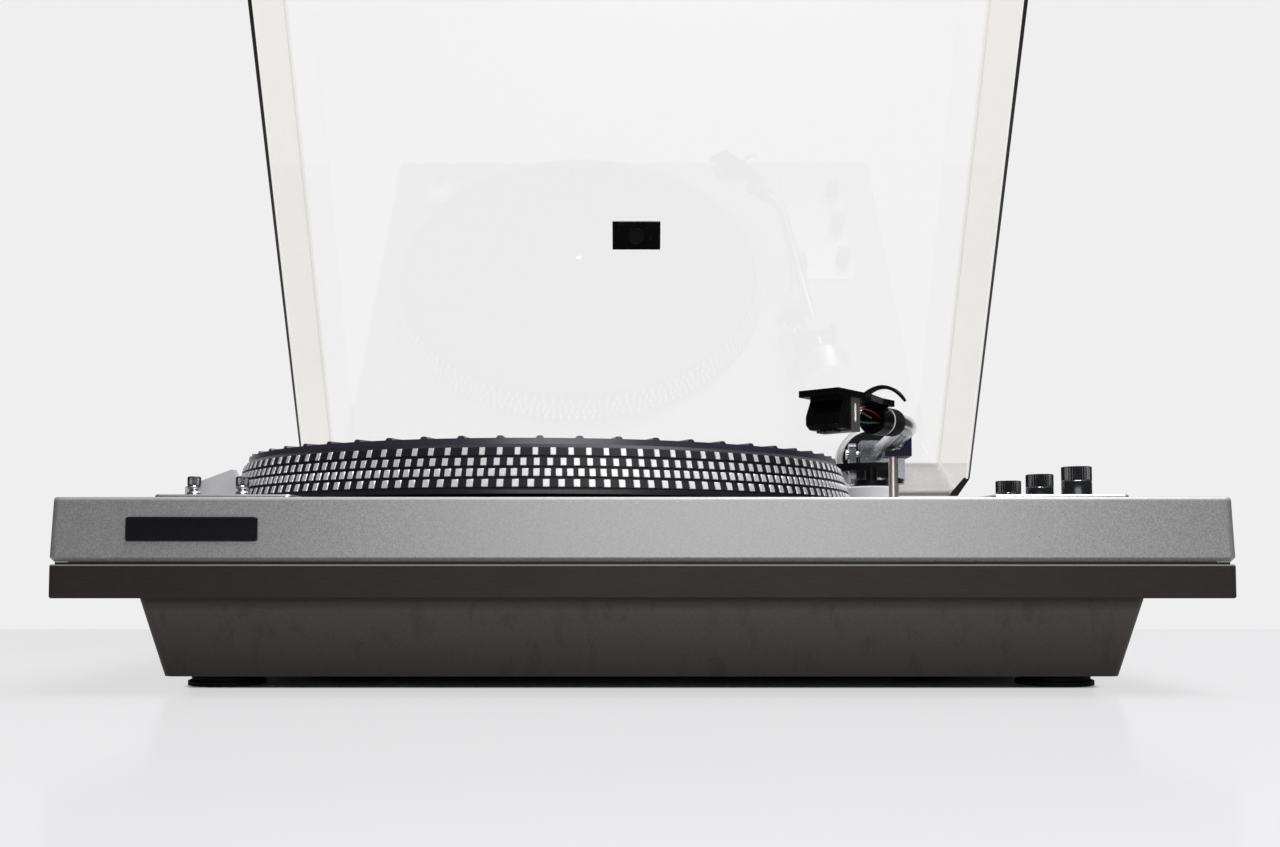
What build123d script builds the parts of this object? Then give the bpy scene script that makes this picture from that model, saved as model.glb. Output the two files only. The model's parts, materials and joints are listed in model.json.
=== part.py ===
from build123d import *
import os
from math import cos, radians, sin, tan

# A record player with a direct-drive platter, a bent-tube arm and a hinged clear lid.
# Working frame: X to the right, Y back from the front face, Z up from the deck's top.
# The finished pieces are moved so that the origin is on the floor, under the middle of the box.

# Stack, from the floor up
FOOT_H = 5.0
BASE_H = 31.5
SLAB_T = 12.5
SHADOW_GAP = 1.0
COVER_H = 24.0

# Platter rim, which sets the plan of the plinth
RIM_LOW_R = 154.0
SIDE_ROOM = 132.0
END_ROOM = 46.0
WIDTH = 2 * RIM_LOW_R + SIDE_ROOM
DEPTH = 2 * RIM_LOW_R + END_ROOM

# Edges and walls of the plinth
CORNER_R = 3.0
EDGE_R = 1.2
COVER_DRAFT = 1.2
COVER_CHAMFER = 1.6
COVER_WALL = 3.0
DECK_T = 3.0

# Lower base
BASE_INSET = 23.6
BASE_SLOPE = 13.9
BASE_WALL = 3.5
BASE_CORNER_R = 5.0
ACCESS_FROM_SIDE = 120.0
ACCESS_FROM_FRONT = 107.0
ACCESS_W = WIDTH - 2 * ACCESS_FROM_SIDE
ACCESS_D = DEPTH - 2 * ACCESS_FROM_FRONT
BOTTOM_COVER_T = 1.8
BOTTOM_COVER_LAP = 12.0
VENT_COUNT = 9
VENT_PITCH = 12.0
VENT_W = 4.0
VENT_L = 60.0

# Feet and their screws
FOOT_R = 15.5
FOOT_WAIST_R = 14.0
FOOT_FROM_SIDE = 50.0
FOOT_X = WIDTH / 2 - FOOT_FROM_SIDE
FOOT_FROM_EDGE = 55.0
FOOT_SCREW_R = 2.0
FOOT_SCREW_HEAD_R = 4.2
FOOT_SCREW_HEAD_T = 1.8
FOOT_SCREW_BITE = 2.5

# Slab opening for the motor and the wiring
WELL_FROM_SIDE = 75.0
WELL_FROM_FRONT = 62.0
WELL_W = WIDTH - 2 * WELL_FROM_SIDE
WELL_D = DEPTH - 2 * WELL_FROM_FRONT
WELL_R = 12.0
SLAB_EDGE = 0.5

# Tongue on the slab that closes the shadow gap from inside
TONGUE_INSET = 4.5
TONGUE_T = 3.0
TONGUE_H = 4.0
TONGUE_R = 4.0
STEP_OUT = 0.2
STEP_CLEAR = 0.1

# Isolators and the bolts that hold the cover down on them
ISOLATOR_FROM_SIDE = 90.0
ISOLATOR_X = WIDTH / 2 - ISOLATOR_FROM_SIDE
ISOLATOR_FROM_EDGE = 40.0
ISOLATOR_R = 9.0
ISOLATOR_H = 7.0
BOLT_R = 2.5
BOLT_HEAD_R = 4.5
BOLT_HEAD_T = 3.0
BOLT_BITE = 8.0
BOSS_R = 7.0

# Name plate on the front, left bare
BADGE_W = 48.7
BADGE_H = 9.1
BADGE_PROUD = 1.2
BADGE_R = 1.0
BADGE_FROM_SIDE = 53.5
BADGE_X = BADGE_FROM_SIDE - WIDTH / 2
BADGE_DROP = 12.0

# Platter, mat and spindle
PLATTER_MARGIN = 19.0
PLATTER_FROM_SIDE = RIM_LOW_R + PLATTER_MARGIN
PLATTER_X = PLATTER_FROM_SIDE - WIDTH / 2
PLATTER_Y = DEPTH / 2
PLATTER_GAP = 2.5
PLATTER_H = 20.0
RIM_LEAN = 5.6
RIM_TOP_R = RIM_LOW_R - RIM_LEAN
RIM_SKIRT = 1.5
RIM_EDGE = 1.4
RIM_WALL = 8.0
PLATTER_TOP_T = 4.0
ROW_COUNT = 4
ROW_H = 3.2
GROOVE_DEPTH = 0.5
HUB_R = 16.0
HUB_RISE = 1.5
MAT_MARGIN = 1.9
MAT_R = RIM_TOP_R - MAT_MARGIN
MAT_T = 2.5
RIB_COUNT = 58
RIB_TURN = -87.36
RIB_H = 1.0
RIB_W = 3.4
RIB_TOP_W = 1.8
LABEL_DROP = 0.6
RIB_FROM_R = 62.0
LABEL_R = 50.0
SPINDLE_R = 3.57
SPINDLE_RISE = 12.0
SHAFT_R = 4.0
SHAFT_FLANGE_R = 11.0
SHAFT_FLANGE_T = 2.0
SHAFT_TIP = 0.5

# Motor
MOTOR_R = 52.0
MOTOR_FLANGE_R = 62.0
MOTOR_WALL = 2.0
MOTOR_PLATE_T = 2.5
MOTOR_H = 35.5
MOTOR_HOLE_R = 13.0
MOTOR_SCREW_RING_R = 57.0
SLEEVE_R = 7.0
SLEEVE_END_T = 2.0
SLEEVE_L = 24.5
MOTOR_BOSS_R = 12.0
MOTOR_BOSS_H = 6.0
CORE_R = 36.0
CORE_T = 8.0
CORE_HUB_R = 15.0
POLE_COUNT = 12
POLE_STEM_W = 6.0
POLE_SHOE_T = 3.0
POLE_SHOE_W = 14.0
COIL_T = 2.2
COIL_CLEAR = 0.3
COIL_L = 14.0
ROTOR_R = 44.0
ROTOR_WALL = 2.0
ROTOR_TOP = 4.5
ROTOR_DROP = 24.5
ROTOR_HUB_R = 9.0
ROTOR_HUB_L = 8.0
MAGNET_T = 5.0
MAGNET_L = 12.0

# Control panels
PANEL_T = 2.0
PANEL_W = 53.0
PANEL_FROM_FRONT = 20.0
PANEL_FROM_SIDE = 31.3
LEFT_PANEL_L = 72.0
RIGHT_PANEL_L = 146.0
PANEL_R = 2.0
PANEL_EDGE = 0.6
PANEL_PLATTER_CLEAR = 2.0

# Strobe pod on the left panel
POD_CLEAR = 2.5
POD_BEARING = 41.2
POD_W = 22.5
POD_L = 24.0
POD_LOW_H = 4.7
POD_PEAK_H = 11.9
POD_PEAK_X = 19.2
POD_SKEW = 24.0
POD_RUN = RIM_LOW_R + POD_CLEAR
POD_X = PLATTER_X - POD_RUN * cos(radians(POD_BEARING)) - POD_W
POD_FROM_FRONT = PLATTER_Y - POD_RUN * sin(radians(POD_BEARING)) - POD_L
LENS_W = 16.0
LENS_T = 2.4

# Knobs
KNOB_FROM_SIDE = 40.4
KNOB_X = WIDTH / 2 - KNOB_FROM_SIDE
KNOB_FROM_FRONT = 52.0
KNOB_PITCH = 45.8
KNOB_R = 6.0
KNOB_H = 12.6
KNOB_LIFT = 0.4
KNOB_RING_H = 6.3
KNOB_RING_DEPTH = 0.35
KNOB_RING_W = 0.7
KNOB_SHAFT_R = 3.0
KNOB_DISH = 0.5
SWITCH_W = 20.0
SWITCH_H = 13.0
SWITCH_BORE = 10.0
PITCH_FROM_SIDE = 42.1
PITCH_X = PITCH_FROM_SIDE - WIDTH / 2
PITCH_PITCH = 19.2
PITCH_FROM_FRONT = 34.0
PITCH_R = 2.6
PITCH_H = 7.4
PITCH_NECK_R = 1.9
PITCH_NECK_H = 2.6
PITCH_FLARE_R = 2.9
PITCH_FLARE_H = 1.2
PITCH_SHAFT_R = 1.5
POT_R = 8.0
POT_H = 9.0
POT_BORE = 6.0

# Arm: pivot place, height of the tube's axis and the bent tube
ARM_OUT = 187.5
ARM_BACK = 91.0
ARM_X = PLATTER_X + ARM_OUT
ARM_Y = PLATTER_Y + ARM_BACK
ARM_H = 38.7
TUBE_TURN = 5.7
TUBE_R = 4.5
TUBE_BORE_R = 3.8
TUBE_RUN = 155.5
HEAD_RUN = 75.2
BEND_TURN = 34.4
BEND_R = 42.0
TUBE_BACK = 8.0
ARM_BASE_R = 20.0
ARM_BASE_T = 4.0
PILLAR_R = 13.0
PILLAR_TOP = 20.6
STEM_R = 9.0
STEM_L = 12.0
YOKE_SHAFT_R = 4.0
YOKE_R = 16.0
YOKE_T = 3.0
YOKE_GAP = 0.4
YOKE_ARM_IN = 12.0
YOKE_ARM_T = 4.0
YOKE_ARM_W = 10.0
YOKE_ARM_OVER = 6.5
BLOCK_W = 20.0
BLOCK_L = 16.0
BLOCK_H = 15.0
PIVOT_R = 2.0
PIVOT_TIP_R = 1.5
PIVOT_TIP_IN = 1.6
PIVOT_HEAD_R = 3.0
PIVOT_HEAD_T = 1.5
PIVOT_POCKET = 1.8

# Counterweight, its stub and the force dial
STUB_R = 4.0
STUB_END = 66.0
STUB_PLUG = 12.0
WEIGHT_R = 20.3
WEIGHT_FROM = 36.0
WEIGHT_L = 24.0
WEIGHT_EDGE = 1.5
WEIGHT_HUB_R = 8.0
WEIGHT_HUB_L = 5.5
DIAL_R = 17.0
DIAL_T = 4.5

# Headshell, cartridge and stylus, measured from the stylus along the head
SHELL_W = 19.0
SHELL_FRONT = 5.0
SHELL_SHOULDER = 22.0
SHELL_WAIST = 38.0
SHELL_WAIST_W = 13.0
SHELL_END = 48.5
SHELL_T = 2.8
SHELL_TOP = 8.6
NECK_R = 6.6
NECK_FROM = 40.0
NECK_DISH = 3.0
NECK_DISH_R = 5.0
PLUG_R = 3.75
PLUG_L = 8.5
SLOT_PITCH = 12.7
SLOT_W = 2.7
SLOT_L = 12.0
SLOT_FROM = 1.0
LIFT_FROM = 18.0
LIFT_OUT = 18.0
LIFT_RISE = 1.6
LIFT_TIP_DROP = 5.0
LIFT_WIRE_R = 0.6
COLLAR_R = 6.3
COLLAR_L = 11.5
COLLAR_GAP = 0.5
COLLAR_BORE_R = 4.6
CART_W = 16.0
CART_FRONT = 2.0
CART_L = 16.0
CART_LOW = -7.6
CART_CHIN = 3.0
CART_CHIN_H = 1.9
CART_BROW = 3.5
CART_BROW_LOW = -2.1
CART_BROW_TOP = 4.5
TERMINAL_R = 0.5
TERMINAL_L = 3.5
TERMINAL_X = 2.6
TERMINAL_LOW = -2.5
TERMINAL_RISE = 4.0
BRACKET_L = 6.5
BRACKET_T = 0.6
STYLUS_W = 6.0
STYLUS_L = 7.0
STYLUS_T = 0.8
STYLUS_TIP = -8.9
CANTILEVER_R = 0.3
LEAD_R = 0.5

# Arm rest: post and saddle, measured from the tube's axis
REST_RUN = 85.3
POST_R = 2.2
POST_FOOT_R = 5.0
POST_FOOT_T = 2.0
SADDLE_L = 15.0
SADDLE_LEFT = 4.8
SADDLE_T = 2.9
SADDLE_DROP = 1.3
SADDLE_EDGE = 0.6
PRONG_CLEAR = 0.7
PRONG_T = 3.6
PRONG_RISE = 1.8

# Cue lift: place on the arm's circle, pedestal, collar and bar
CUE_RUN = 34.1
CUE_TURN = 16.2
PEDESTAL_R = 12.4
PEDESTAL_H = 17.6
PEDESTAL_EDGE = 0.8
CUE_COLLAR_R = 9.5
CUE_COLLAR_H = 3.4
PLUNGER_R = 3.4
PLUNGER_LOW = 2.5
CUE_BAR_IN = 31.2
CUE_BAR_OUT = 36.8
CUE_BAR_T = 4.2
CUE_BAR_TOP = 31.2
CUE_BAR_FROM = -2.0
CUE_BAR_TO = 52.0

# Lid, drawn closed and then opened about its hinge
LID_INSET = 5.5
LID_W = WIDTH - 2 * LID_INSET
LID_FRONT = 4.0
LID_DEPTH = DEPTH - 2 * LID_FRONT
LID_H = 73.0
LID_TOP_T = 3.0
LID_WALL = 2.5
LID_SEAT = 1.0
LID_CORNER_R = 6.0
LID_EDGE_R = 3.0
LID_CUT = 22.0
LID_OPEN = 63.0
LID_PAD_W = 31.0
LID_PAD_D = 18.0
LID_PAD_T = 2.5
LID_PAD_FROM_BACK = 164.0
LID_STUD_R = 4.0
LID_STUD_T = 1.5
LID_BUMPER_R = 3.0
LID_BUMPER_FROM_END = 40.0
HINGE_BEHIND = 1.6
HINGE_H = 7.3
HINGE_FROM_SIDE = 70.0
HINGE_X = WIDTH / 2 - HINGE_FROM_SIDE
HINGE_W = 32.0
HINGE_KNUCKLE_W = 12.0
HINGE_R = 3.5
HINGE_PIN_R = 1.5
HINGE_LEAF_T = 2.0
HINGE_LEAF_DROP = 20.0
HINGE_LEAF_RISE = 24.0
HINGE_SIDE_GAP = 0.4

# Inside the base
TRANSFORMER_FROM_SIDE = 70.0
TRANSFORMER_FROM_BACK = 74.0
TRANSFORMER_X = TRANSFORMER_FROM_SIDE - WIDTH / 2
TRANSFORMER_Y = DEPTH - TRANSFORMER_FROM_BACK
CORE_STACK_W = 58.0
CORE_STACK_D = 30.0
CORE_STACK_H = 24.0
CORE_LIMB = 9.0
WINDING_CLEAR = 0.4
BOARD_FROM_SIDE = 110.0
BOARD_FROM_BACK = 70.0
BOARD_X = WIDTH / 2 - BOARD_FROM_SIDE
BOARD_Y = DEPTH - BOARD_FROM_BACK
BOARD_W = 110.0
BOARD_D = 60.0
BOARD_T = 1.6
BOARD_PILLAR_R = 3.5
BOARD_PILLAR_H = 6.0
CAPACITOR_R = 6.0
CAPACITOR_H = 14.0
CAPACITOR_COUNT = 3
CAPACITOR_PITCH = 16.0
GLAND_R = 4.5
GLAND_FLANGE_R = 7.0
GLAND_FLANGE_T = 2.5
GLAND_L = 14.0
GLAND_HOLE_R = 2.5
GLAND_HOLE_DEPTH = 8.0
GLAND_FROM_SIDE = 115.0
GLAND_X = WIDTH / 2 - GLAND_FROM_SIDE
GLAND_PITCH = 30.0

# Small screws in the deck
SCREW_R = 1.5
SCREW_HEAD_R = 2.8
SCREW_HEAD_T = 1.8
SCREW_COUNT = 3
ARM_SCREW_RING_R = 16.6

# Clearances: a running fit, a seat that doesn't turn, and a hole that a part passes through
RUN_FIT = 0.06
SEAT_FIT = 0.03
PASS_CLEAR = 0.3

# Levels that follow from the stack
COVER_LOW = -COVER_H
SLAB_TOP = COVER_LOW - SHADOW_GAP
SLAB_LOW = SLAB_TOP - SLAB_T
BASE_LOW = SLAB_LOW - BASE_H
FLOOR = BASE_LOW - FOOT_H
BASE_FLOOR = BASE_LOW + BASE_WALL
BASE_TAPER = BASE_H * tan(radians(BASE_SLOPE))
BOSS_LOW = SLAB_TOP + ISOLATOR_H
MID_Y = DEPTH / 2

# Platter levels
PLATTER_TOP = PLATTER_GAP + PLATTER_H
HUB_LOW = PLATTER_GAP + HUB_RISE
MAT_TOP = PLATTER_TOP + MAT_T

# Motor levels
DECK_LOW = -DECK_T
MOTOR_LOW = DECK_LOW - MOTOR_H
MOTOR_FLOOR = MOTOR_LOW + MOTOR_PLATE_T
CORE_LOW = MOTOR_FLOOR + MOTOR_BOSS_H
SLEEVE_TOP = MOTOR_LOW + SLEEVE_L
ROTOR_Z = DECK_LOW - ROTOR_TOP

# Hinge line of the lid, and the furthest point back that the open lid reaches
HINGE_Y = DEPTH + HINGE_BEHIND
LID_BACK = LID_FRONT + LID_DEPTH
LID_SWING = radians(LID_OPEN)
LID_ROUND_Y = LID_BACK - LID_EDGE_R - HINGE_Y
LID_ROUND_Z = LID_SEAT + LID_H - LID_EDGE_R - HINGE_H
LID_REACH = HINGE_Y + LID_ROUND_Y * cos(LID_SWING) + LID_ROUND_Z * sin(LID_SWING) + LID_EDGE_R

# Arm places in the deck's plan
HEAD_X = -HEAD_RUN * sin(radians(BEND_TURN))
HEAD_Y = -TUBE_RUN - HEAD_RUN * cos(radians(BEND_TURN))

# Frames
WORLD = Pos(0, (BADGE_PROUD - LID_REACH) / 2, -FLOOR)
PLATTER = Pos(PLATTER_X, PLATTER_Y, 0)
ARM = Pos(ARM_X, ARM_Y, ARM_H) * Rot(0, 0, -TUBE_TURN)
HEAD = ARM * Pos(HEAD_X, HEAD_Y, 0) * Rot(0, 0, -BEND_TURN)
REST = ARM * Pos(0, -REST_RUN, 0)
CUE = Pos(ARM_X, ARM_Y, 0) * Rot(0, 0, -CUE_TURN) * Pos(0, -CUE_RUN, 0)
LID = Pos(0, HINGE_Y, HINGE_H) * Rot(-LID_OPEN, 0, 0) * Pos(0, -HINGE_Y, -HINGE_H)


def block(x0, x1, y0, y1, z0, z1):
    """A box between two corners."""
    corner = (Align.MIN, Align.MIN, Align.MIN)
    return Pos(x0, y0, z0) * Box(x1 - x0, y1 - y0, z1 - z0, align=corner)


def disc(radius, z0, z1):
    """An upright cylinder on the Z axis."""
    return Pos(0, 0, z0) * Cylinder(radius, z1 - z0, align=(Align.CENTER, Align.CENTER, Align.MIN))


def tube(outer, inner, z0, z1):
    """An upright sleeve on the Z axis."""
    return disc(outer, z0, z1) - disc(inner, z0, z1)


def along_y(radius, y0, y1):
    """A cylinder on the Y axis."""
    return Pos(0, y0, 0) * Rot(-90, 0, 0) * disc(radius, 0, y1 - y0)


def along_x(radius, x0, x1):
    """A cylinder on the X axis."""
    return Pos(x0, 0, 0) * Rot(0, 90, 0) * disc(radius, 0, x1 - x0)


def turned(points):
    """A solid of revolution about Z from an outline of (radius, height) points."""
    return revolve(Plane.XZ * make_face(Polyline(*points, close=True)), Axis.Z)


def ring_places(count, radius, start=0.0):
    """Places spread evenly on a circle, each turned to face outwards."""
    return [Rot(0, 0, start + 360.0 * i / count) * Pos(radius, 0, 0) for i in range(count)]


def four_places(x, edge):
    """Places near the plinth's four corners."""
    return [Pos(sx * x, y, 0) for sx in (-1, 1) for y in (edge, DEPTH - edge)]


def rounded_slab(width, depth, radius, z0, z1):
    """A plate with rounded upright corners, centred on the plinth."""
    outline = Pos(0, MID_Y, z0) * RectangleRounded(width, depth, radius)
    return extrude(outline, z1 - z0)


def screw(radius, head_r, head_t, length):
    """A plain screw whose head sits on Z = 0 and whose shank runs down."""
    return disc(head_r, 0, head_t) + disc(radius, -length, 0)


def foot():
    """A waisted rubber foot with a sunk screw hole."""
    third = FOOT_H / 3
    outline = [
        (0, FLOOR),
        (FOOT_R, FLOOR),
        (FOOT_R, FLOOR + third),
        (FOOT_WAIST_R, FLOOR + 1.4 * third),
        (FOOT_WAIST_R, FLOOR + 2.0 * third),
        (FOOT_R, FLOOR + 2.3 * third),
        (FOOT_R, BASE_LOW),
        (0, BASE_LOW),
    ]
    seat = FLOOR + FOOT_H - FOOT_SCREW_BITE
    hole = disc(FOOT_SCREW_R + PASS_CLEAR, FLOOR, BASE_LOW)
    sink = disc(FOOT_SCREW_HEAD_R + PASS_CLEAR, FLOOR, seat)
    return turned(outline) - hole - sink


def feet():
    """Four feet under the base."""
    return [place * foot() for place in four_places(FOOT_X, FOOT_FROM_EDGE)]


def foot_screws():
    """One screw up through each foot into the base's floor."""
    seat = FLOOR + FOOT_H - FOOT_SCREW_BITE
    length = FOOT_SCREW_BITE + BASE_WALL
    one = Rot(180, 0, 0) * screw(FOOT_SCREW_R, FOOT_SCREW_HEAD_R, FOOT_SCREW_HEAD_T, length)
    return [place * Pos(0, 0, seat) * one for place in four_places(FOOT_X, FOOT_FROM_EDGE)]


def base_frustum(shrink, z0, z1):
    """The tapered body of the base, drawn in by a wall thickness."""
    width = WIDTH - 2 * BASE_INSET
    depth = DEPTH - 2 * BASE_INSET
    sections = []
    for z in (z0, z1):
        inset = (SLAB_LOW - z) / BASE_H * BASE_TAPER + shrink
        outline = RectangleRounded(width - 2 * inset, depth - 2 * inset, BASE_CORNER_R)
        sections.append(Pos(0, MID_Y, z) * outline)
    return loft(sections)


def base_tub():
    """Tapered tub with a floor, an access opening and pillars for the board."""
    tub = base_frustum(0, BASE_LOW, SLAB_LOW) - base_frustum(BASE_WALL, BASE_FLOOR, SLAB_LOW)
    tub -= Pos(0, MID_Y - ACCESS_D / 2, 0) * block(
        -ACCESS_W / 2, ACCESS_W / 2, 0, ACCESS_D, BASE_LOW, BASE_FLOOR
    )
    pillar = disc(BOARD_PILLAR_R, BASE_FLOOR, BASE_FLOOR + BOARD_PILLAR_H)
    tub += [place * pillar for place in board_places()]
    for place in four_places(FOOT_X, FOOT_FROM_EDGE):
        tub -= place * disc(FOOT_SCREW_R + SEAT_FIT, BASE_LOW, BASE_FLOOR)
    return tub


def bottom_cover():
    """Hardboard cover under the access opening, with a row of vent slots."""
    width = ACCESS_W + 2 * BOTTOM_COVER_LAP
    depth = ACCESS_D + 2 * BOTTOM_COVER_LAP
    plate = rounded_slab(width, depth, BASE_CORNER_R, BASE_LOW - BOTTOM_COVER_T, BASE_LOW)
    slot = extrude(Pos(0, 0, BASE_LOW - BOTTOM_COVER_T) * SlotOverall(VENT_L, VENT_W, 90), BOTTOM_COVER_T)
    first = -(VENT_COUNT - 1) / 2 * VENT_PITCH
    plate -= [Pos(first + i * VENT_PITCH, MID_Y, 0) * slot for i in range(VENT_COUNT)]
    return plate


def plinth_slab():
    """Dark board with a well for the motor, a stepped tongue, and holes for bolts and glands."""
    slab = rounded_slab(WIDTH, DEPTH, CORNER_R, SLAB_LOW, SLAB_TOP)
    levels = slab.faces().sort_by(Axis.Z)
    slab = chamfer(levels[0].edges() + levels[-1].edges(), SLAB_EDGE)
    tongue_w = WIDTH - 2 * TONGUE_INSET
    tongue_d = DEPTH - 2 * TONGUE_INSET
    inside_w = tongue_w - 2 * TONGUE_T
    inside_d = tongue_d - 2 * TONGUE_T
    step_in = COVER_CHAMFER + STEP_OUT
    root = SLAB_TOP - SLAB_EDGE
    tongue_top = SLAB_TOP + TONGUE_H
    step_top = COVER_LOW - STEP_CLEAR
    tongue = rounded_slab(tongue_w, tongue_d, TONGUE_R, root, tongue_top)
    tongue += rounded_slab(WIDTH - 2 * step_in, DEPTH - 2 * step_in, CORNER_R - step_in, root, step_top)
    tongue -= rounded_slab(inside_w, inside_d, TONGUE_R - TONGUE_T / 2, root, tongue_top)
    slab += tongue
    slab -= rounded_slab(WELL_W, WELL_D, WELL_R, SLAB_LOW, SLAB_TOP)
    bolt_hole = disc(BOLT_R + PASS_CLEAR, SLAB_LOW, SLAB_TOP)
    slab -= [place * bolt_hole for place in four_places(ISOLATOR_X, ISOLATOR_FROM_EDGE)]
    slab -= [place * along_y(GLAND_R + SEAT_FIT, -GLAND_L, 0) for place in gland_places()]
    return slab


def isolators():
    """Rubber bushes that carry the cover on the slab."""
    bush = tube(ISOLATOR_R, BOLT_R + PASS_CLEAR, SLAB_TOP, BOSS_LOW)
    return [place * bush for place in four_places(ISOLATOR_X, ISOLATOR_FROM_EDGE)]


def cover_bolts():
    """Bolts from under the slab, through the bushes, into the cover's bosses."""
    length = BOSS_LOW + BOLT_BITE - SLAB_LOW
    one = Rot(180, 0, 0) * screw(BOLT_R, BOLT_HEAD_R, BOLT_HEAD_T, length)
    places = four_places(ISOLATOR_X, ISOLATOR_FROM_EDGE)
    return [place * Pos(0, 0, SLAB_LOW) * one for place in places]


def top_cover():
    """Silver moulded cover: deck, skirt, bosses and every hole that the deck needs."""
    half = WIDTH / 2
    outline = Polyline(
        (COVER_DRAFT - half, 0),
        (half - COVER_DRAFT, 0),
        (half, COVER_LOW),
        (-half, COVER_LOW),
        close=True,
    )
    cover = Pos(0, DEPTH, 0) * extrude(Plane.XZ * make_face(outline), DEPTH)
    cover = fillet(cover.edges().filter_by(lambda edge: abs(edge.tangent_at(0.5).Z) > 0.9), CORNER_R)
    cover = fillet(cover.faces().sort_by(Axis.Z)[-1].edges(), EDGE_R)
    cover = chamfer(cover.faces().sort_by(Axis.Z)[0].edges(), COVER_CHAMFER)
    cover -= block(
        COVER_WALL - WIDTH / 2,
        WIDTH / 2 - COVER_WALL,
        COVER_WALL,
        DEPTH - COVER_WALL,
        COVER_LOW,
        DECK_LOW,
    )
    boss = tube(BOSS_R, BOLT_R + SEAT_FIT, BOSS_LOW, BOSS_LOW + BOLT_BITE)
    boss += disc(BOSS_R, BOSS_LOW + BOLT_BITE, DECK_LOW)
    cover += [place * boss for place in four_places(ISOLATOR_X, ISOLATOR_FROM_EDGE)]
    holes = [PLATTER * disc(MOTOR_HOLE_R, DECK_LOW, 0)]
    holes += [place * disc(KNOB_SHAFT_R + PASS_CLEAR, DECK_LOW, 0) for place in knob_places()]
    holes += [place * disc(PITCH_SHAFT_R + PASS_CLEAR, DECK_LOW, 0) for place in pitch_places()]
    holes += [Pos(ARM_X, ARM_Y, 0) * disc(STEM_R + PASS_CLEAR, DECK_LOW, 0)]
    holes += [REST * Pos(0, 0, -ARM_H) * disc(POST_R + SEAT_FIT, DECK_LOW, 0)]
    holes += [place * disc(SCREW_R + SEAT_FIT, DECK_LOW, 0) for place in screw_places()]
    return cover - holes


def name_plate():
    """Bare raised plate on the front face."""
    low = -BADGE_DROP - BADGE_H / 2
    plate = block(
        BADGE_X - BADGE_W / 2, BADGE_X + BADGE_W / 2, -BADGE_PROUD, 0, low, low + BADGE_H
    )
    plate = fillet(plate.edges().filter_by(Axis.Y), BADGE_R)
    return chamfer(plate.faces().sort_by(Axis.Y)[0].edges(), BADGE_PROUD / 4)


def platter():
    """Cast platter: conical rim with grooves between its rows, a top plate and a hub."""
    rim_low = PLATTER_GAP + RIM_SKIRT
    rim_high = PLATTER_TOP - RIM_EDGE
    slope = (RIM_LOW_R - RIM_TOP_R) / (rim_high - rim_low)
    pitch = (rim_high - rim_low) / ROW_COUNT
    groove = pitch - ROW_H
    edge = [(RIM_LOW_R, PLATTER_GAP), (RIM_LOW_R, rim_low)]
    for row in range(ROW_COUNT):
        z = rim_low + row * pitch
        radius = RIM_LOW_R - slope * (z - rim_low)
        edge += [
            (radius - GROOVE_DEPTH, z),
            (radius - GROOVE_DEPTH - slope * groove, z + groove),
            (radius - slope * groove, z + groove),
            (radius - slope * pitch, z + pitch),
        ]
    inner = RIM_TOP_R - RIM_WALL
    outline = edge + [
        (RIM_TOP_R - RIM_EDGE, PLATTER_TOP),
        (SHAFT_R + SEAT_FIT, PLATTER_TOP),
        (SHAFT_R + SEAT_FIT, HUB_LOW),
        (HUB_R, HUB_LOW),
        (HUB_R, PLATTER_TOP - PLATTER_TOP_T),
        (inner, PLATTER_TOP - PLATTER_TOP_T),
        (inner, PLATTER_GAP),
    ]
    return PLATTER * turned(outline)


def mat():
    """Rubber mat with radial ribs and a lowered label field."""
    body = disc(MAT_R, PLATTER_TOP, MAT_TOP) - disc(LABEL_R, MAT_TOP - LABEL_DROP, MAT_TOP)
    body -= disc(SHAFT_R + PASS_CLEAR, PLATTER_TOP, MAT_TOP)
    section = Polyline(
        (-RIB_W / 2, MAT_TOP),
        (RIB_W / 2, MAT_TOP),
        (RIB_TOP_W / 2, MAT_TOP + RIB_H),
        (-RIB_TOP_W / 2, MAT_TOP + RIB_H),
        close=True,
    )
    rib = Pos(RIB_FROM_R, 0, 0) * extrude(Plane.YZ * make_face(section), MAT_R - PASS_CLEAR - RIB_FROM_R)
    body += [place * rib for place in ring_places(RIB_COUNT, 0, RIB_TURN)]
    return PLATTER * body


def spindle():
    """Turned shaft: bearing end, a flange that carries the hub, and the record pin."""
    low = MOTOR_LOW + SLEEVE_END_T + RUN_FIT
    top = MAT_TOP + SPINDLE_RISE
    outline = [
        (0, low),
        (SHAFT_R, low),
        (SHAFT_R, HUB_LOW - SHAFT_FLANGE_T),
        (SHAFT_FLANGE_R, HUB_LOW - SHAFT_FLANGE_T),
        (SHAFT_FLANGE_R, HUB_LOW),
        (SHAFT_R, HUB_LOW),
        (SHAFT_R, MAT_TOP),
        (SPINDLE_R, MAT_TOP),
        (SPINDLE_R, top - SHAFT_TIP),
        (SPINDLE_R / 2, top),
        (0, top),
    ]
    return PLATTER * turned(outline)


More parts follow.
